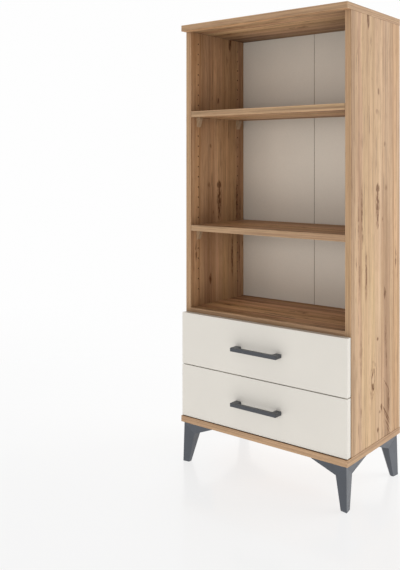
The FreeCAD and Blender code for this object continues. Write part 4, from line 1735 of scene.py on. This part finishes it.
@dataclass
class Floor:
    """A pale floor that keeps a faint shadow and a soft reflection, and turns white to the back.

    Its tones are measured from a place at the front, as shares of the length they are laid over.
    """

    radius: float = 7.0
    sides: int = 96
    colour: Colour = (0.985, 0.985, 0.985)
    front: Triple = (1.2, -1.9, 0.0)
    tone_length: float = 5.0
    tones: Tones = (
        (0.33, (0.952, 0.952, 0.952)), (0.50, (1.0, 1.0, 1.0)))
    seen_glow: float = 1.015
    bounce: float = 1.48
    matt_share: float = 0.19
    sheen_roughness: float = 0.16
    sheen_ior: float = 1.2
    fade_start: float = 2.9
    fade_end: float = 5.0

    def material(self) -> bpy.types.Material:
        """A glowing white that takes a shadow, has a sheen and fades out far away.

        Returns:
            The finished material.
        """
        recipe = Recipe("pale_floor")
        recipe.tree.nodes.remove(recipe.shader)
        away = recipe.measure("DISTANCE", recipe.place, self.front)
        shade = recipe.ramp(recipe.calc("DIVIDE", away, self.tone_length), self.tones)
        rays = recipe.add("LightPath").outputs
        seen = recipe.calc("MAXIMUM", rays["Is Camera Ray"], recipe.calc(
            "MAXIMUM", rays["Is Glossy Ray"], rays["Is Transmission Ray"]))
        glow = recipe.add("Emission", {
            "Color": shade, "Strength": recipe.between(seen, self.bounce, self.seen_glow)})
        matt = recipe.add("BsdfDiffuse", {"Color": self.colour})
        gloss = recipe.add("BsdfGlossy", {"Color": self.colour, "Roughness": self.sheen_roughness})
        grazing = recipe.add("Fresnel", {"IOR": self.sheen_ior})
        clear = recipe.add("BsdfTransparent")
        surface = glow
        for share, layer in ((self.matt_share, matt), (grazing.outputs[0], gloss),
                             (recipe.fade(away, self.fade_start, self.fade_end), clear)):
            surface = recipe.add("MixShader", {
                0: share, 1: surface.outputs[0], 2: layer.outputs[0]})
        recipe.feed(recipe.output.inputs["Surface"], surface.outputs[0])
        return recipe.material

    def build(self) -> None:
        """Lays the floor."""
        mesh = bmesh.new()
        bmesh.ops.create_circle(mesh, cap_ends=True, segments=self.sides, radius=self.radius)
        floor = shown(mesh, "floor", self.material())


@dataclass
class Studio:
    """Floor, light and camera.

    The camera's place and turn, its focal length and the height of the horizon, in pixels of the
    photograph, were fitted to the photograph.
    """

    white: float = 0.99
    ambient: float = 0.43
    sensor: float = 36.0
    focal_pixels: float = 751.7
    horizon_pixel: float = 162.1
    camera_yaw: float = 38.8
    camera_place: Triple = (1.2179, -1.9276, 0.9236)
    clip: tuple[float, float] = (0.05, 60.0)
    lamps: tuple[Lamp, ...] = (
        Lamp("front_lamp", (0.5, -2.9, 1.0), (0.0, 0.0, 1.0), (2.4, 0.9), 3.1),
        Lamp("side_lamp", (2.1, 2.0, 1.65), (0.0, 0.0, 1.0), (2.2, 2.4), 3.12),
        Lamp("rear_lamp", (-1.7, 1.9, 2.3), (0.0, 0.0, 0.8), (2.0, 2.0), 2.4, mirrored=False),
    )

    def camera(self) -> None:
        """A level camera, shifted down to the object, at the photograph's place."""
        data = bpy.data.cameras.new("camera")
        data.sensor_width = self.sensor
        data.lens = self.focal_pixels / IMAGE_HEIGHT * self.sensor
        data.shift_y = (self.horizon_pixel - IMAGE_HEIGHT / 2) / IMAGE_HEIGHT
        data.clip_start, data.clip_end = self.clip
        camera = bpy.data.objects.new("camera", data)
        camera.location = self.camera_place
        camera.rotation_euler = (math.radians(90.0), 0.0, math.radians(self.camera_yaw))
        bpy.context.scene.collection.objects.link(camera)
        bpy.context.scene.camera = camera

    def world(self) -> None:
        """Light from all round, and white behind the object."""
        world = bpy.data.worlds.new("studio")
        world.use_nodes = True
        tree = world.node_tree
        tree.nodes.clear()
        rays = tree.nodes.new("ShaderNodeLightPath")
        seen = rays.outputs["Is Camera Ray"]
        for kind in ("Is Glossy Ray", "Is Transmission Ray"):
            either = tree.nodes.new("ShaderNodeMath")
            either.operation = "MAXIMUM"
            tree.links.new(seen, either.inputs[0])
            tree.links.new(rays.outputs[kind], either.inputs[1])
            seen = either.outputs[0]
        share = tree.nodes.new("ShaderNodeMixShader")
        tree.links.new(seen, share.inputs[0])
        for number, level in enumerate((self.ambient, self.white), 1):
            light = tree.nodes.new("ShaderNodeBackground")
            light.inputs["Color"].default_value = (1.0, 1.0, 1.0, 1.0)
            light.inputs["Strength"].default_value = level
            tree.links.new(light.outputs[0], share.inputs[number])
        output = tree.nodes.new("ShaderNodeOutputWorld")
        tree.links.new(share.outputs[0], output.inputs["Surface"])
        bpy.context.scene.world = world

    def build(self) -> None:
        """Sets up the camera, the light and the floor."""
        self.camera()
        self.world()
        for lamp in self.lamps:
            lamp.build()
        Floor().build()
        bpy.context.scene.view_settings.view_transform = "Standard"


def main() -> None:
    """Builds the sub-assemblies in order, then the studio, and reports each of them."""
    logging.basicConfig(level=logging.INFO, format="%(name)s: %(message)s")
    plate = ZincPlate("zinc_rails").material()
    balls = ZincPlate("ball_steel", (0.66, 0.67, 0.69), roughness=0.18,
                      rolled=(120.0, 120.0, 120.0)).material()
    assemblies = [Carcass(), Shelving(), CornerLegs()]
    for level in Level:
        assemblies += [Drawer(level), Slides(level, plate, balls)]
    for assembly in (*assemblies, FixingSets(), Studio()):
        assembly.build()
        log.info("%s built", type(assembly).__name__)


if __name__ == "__main__":
    main()
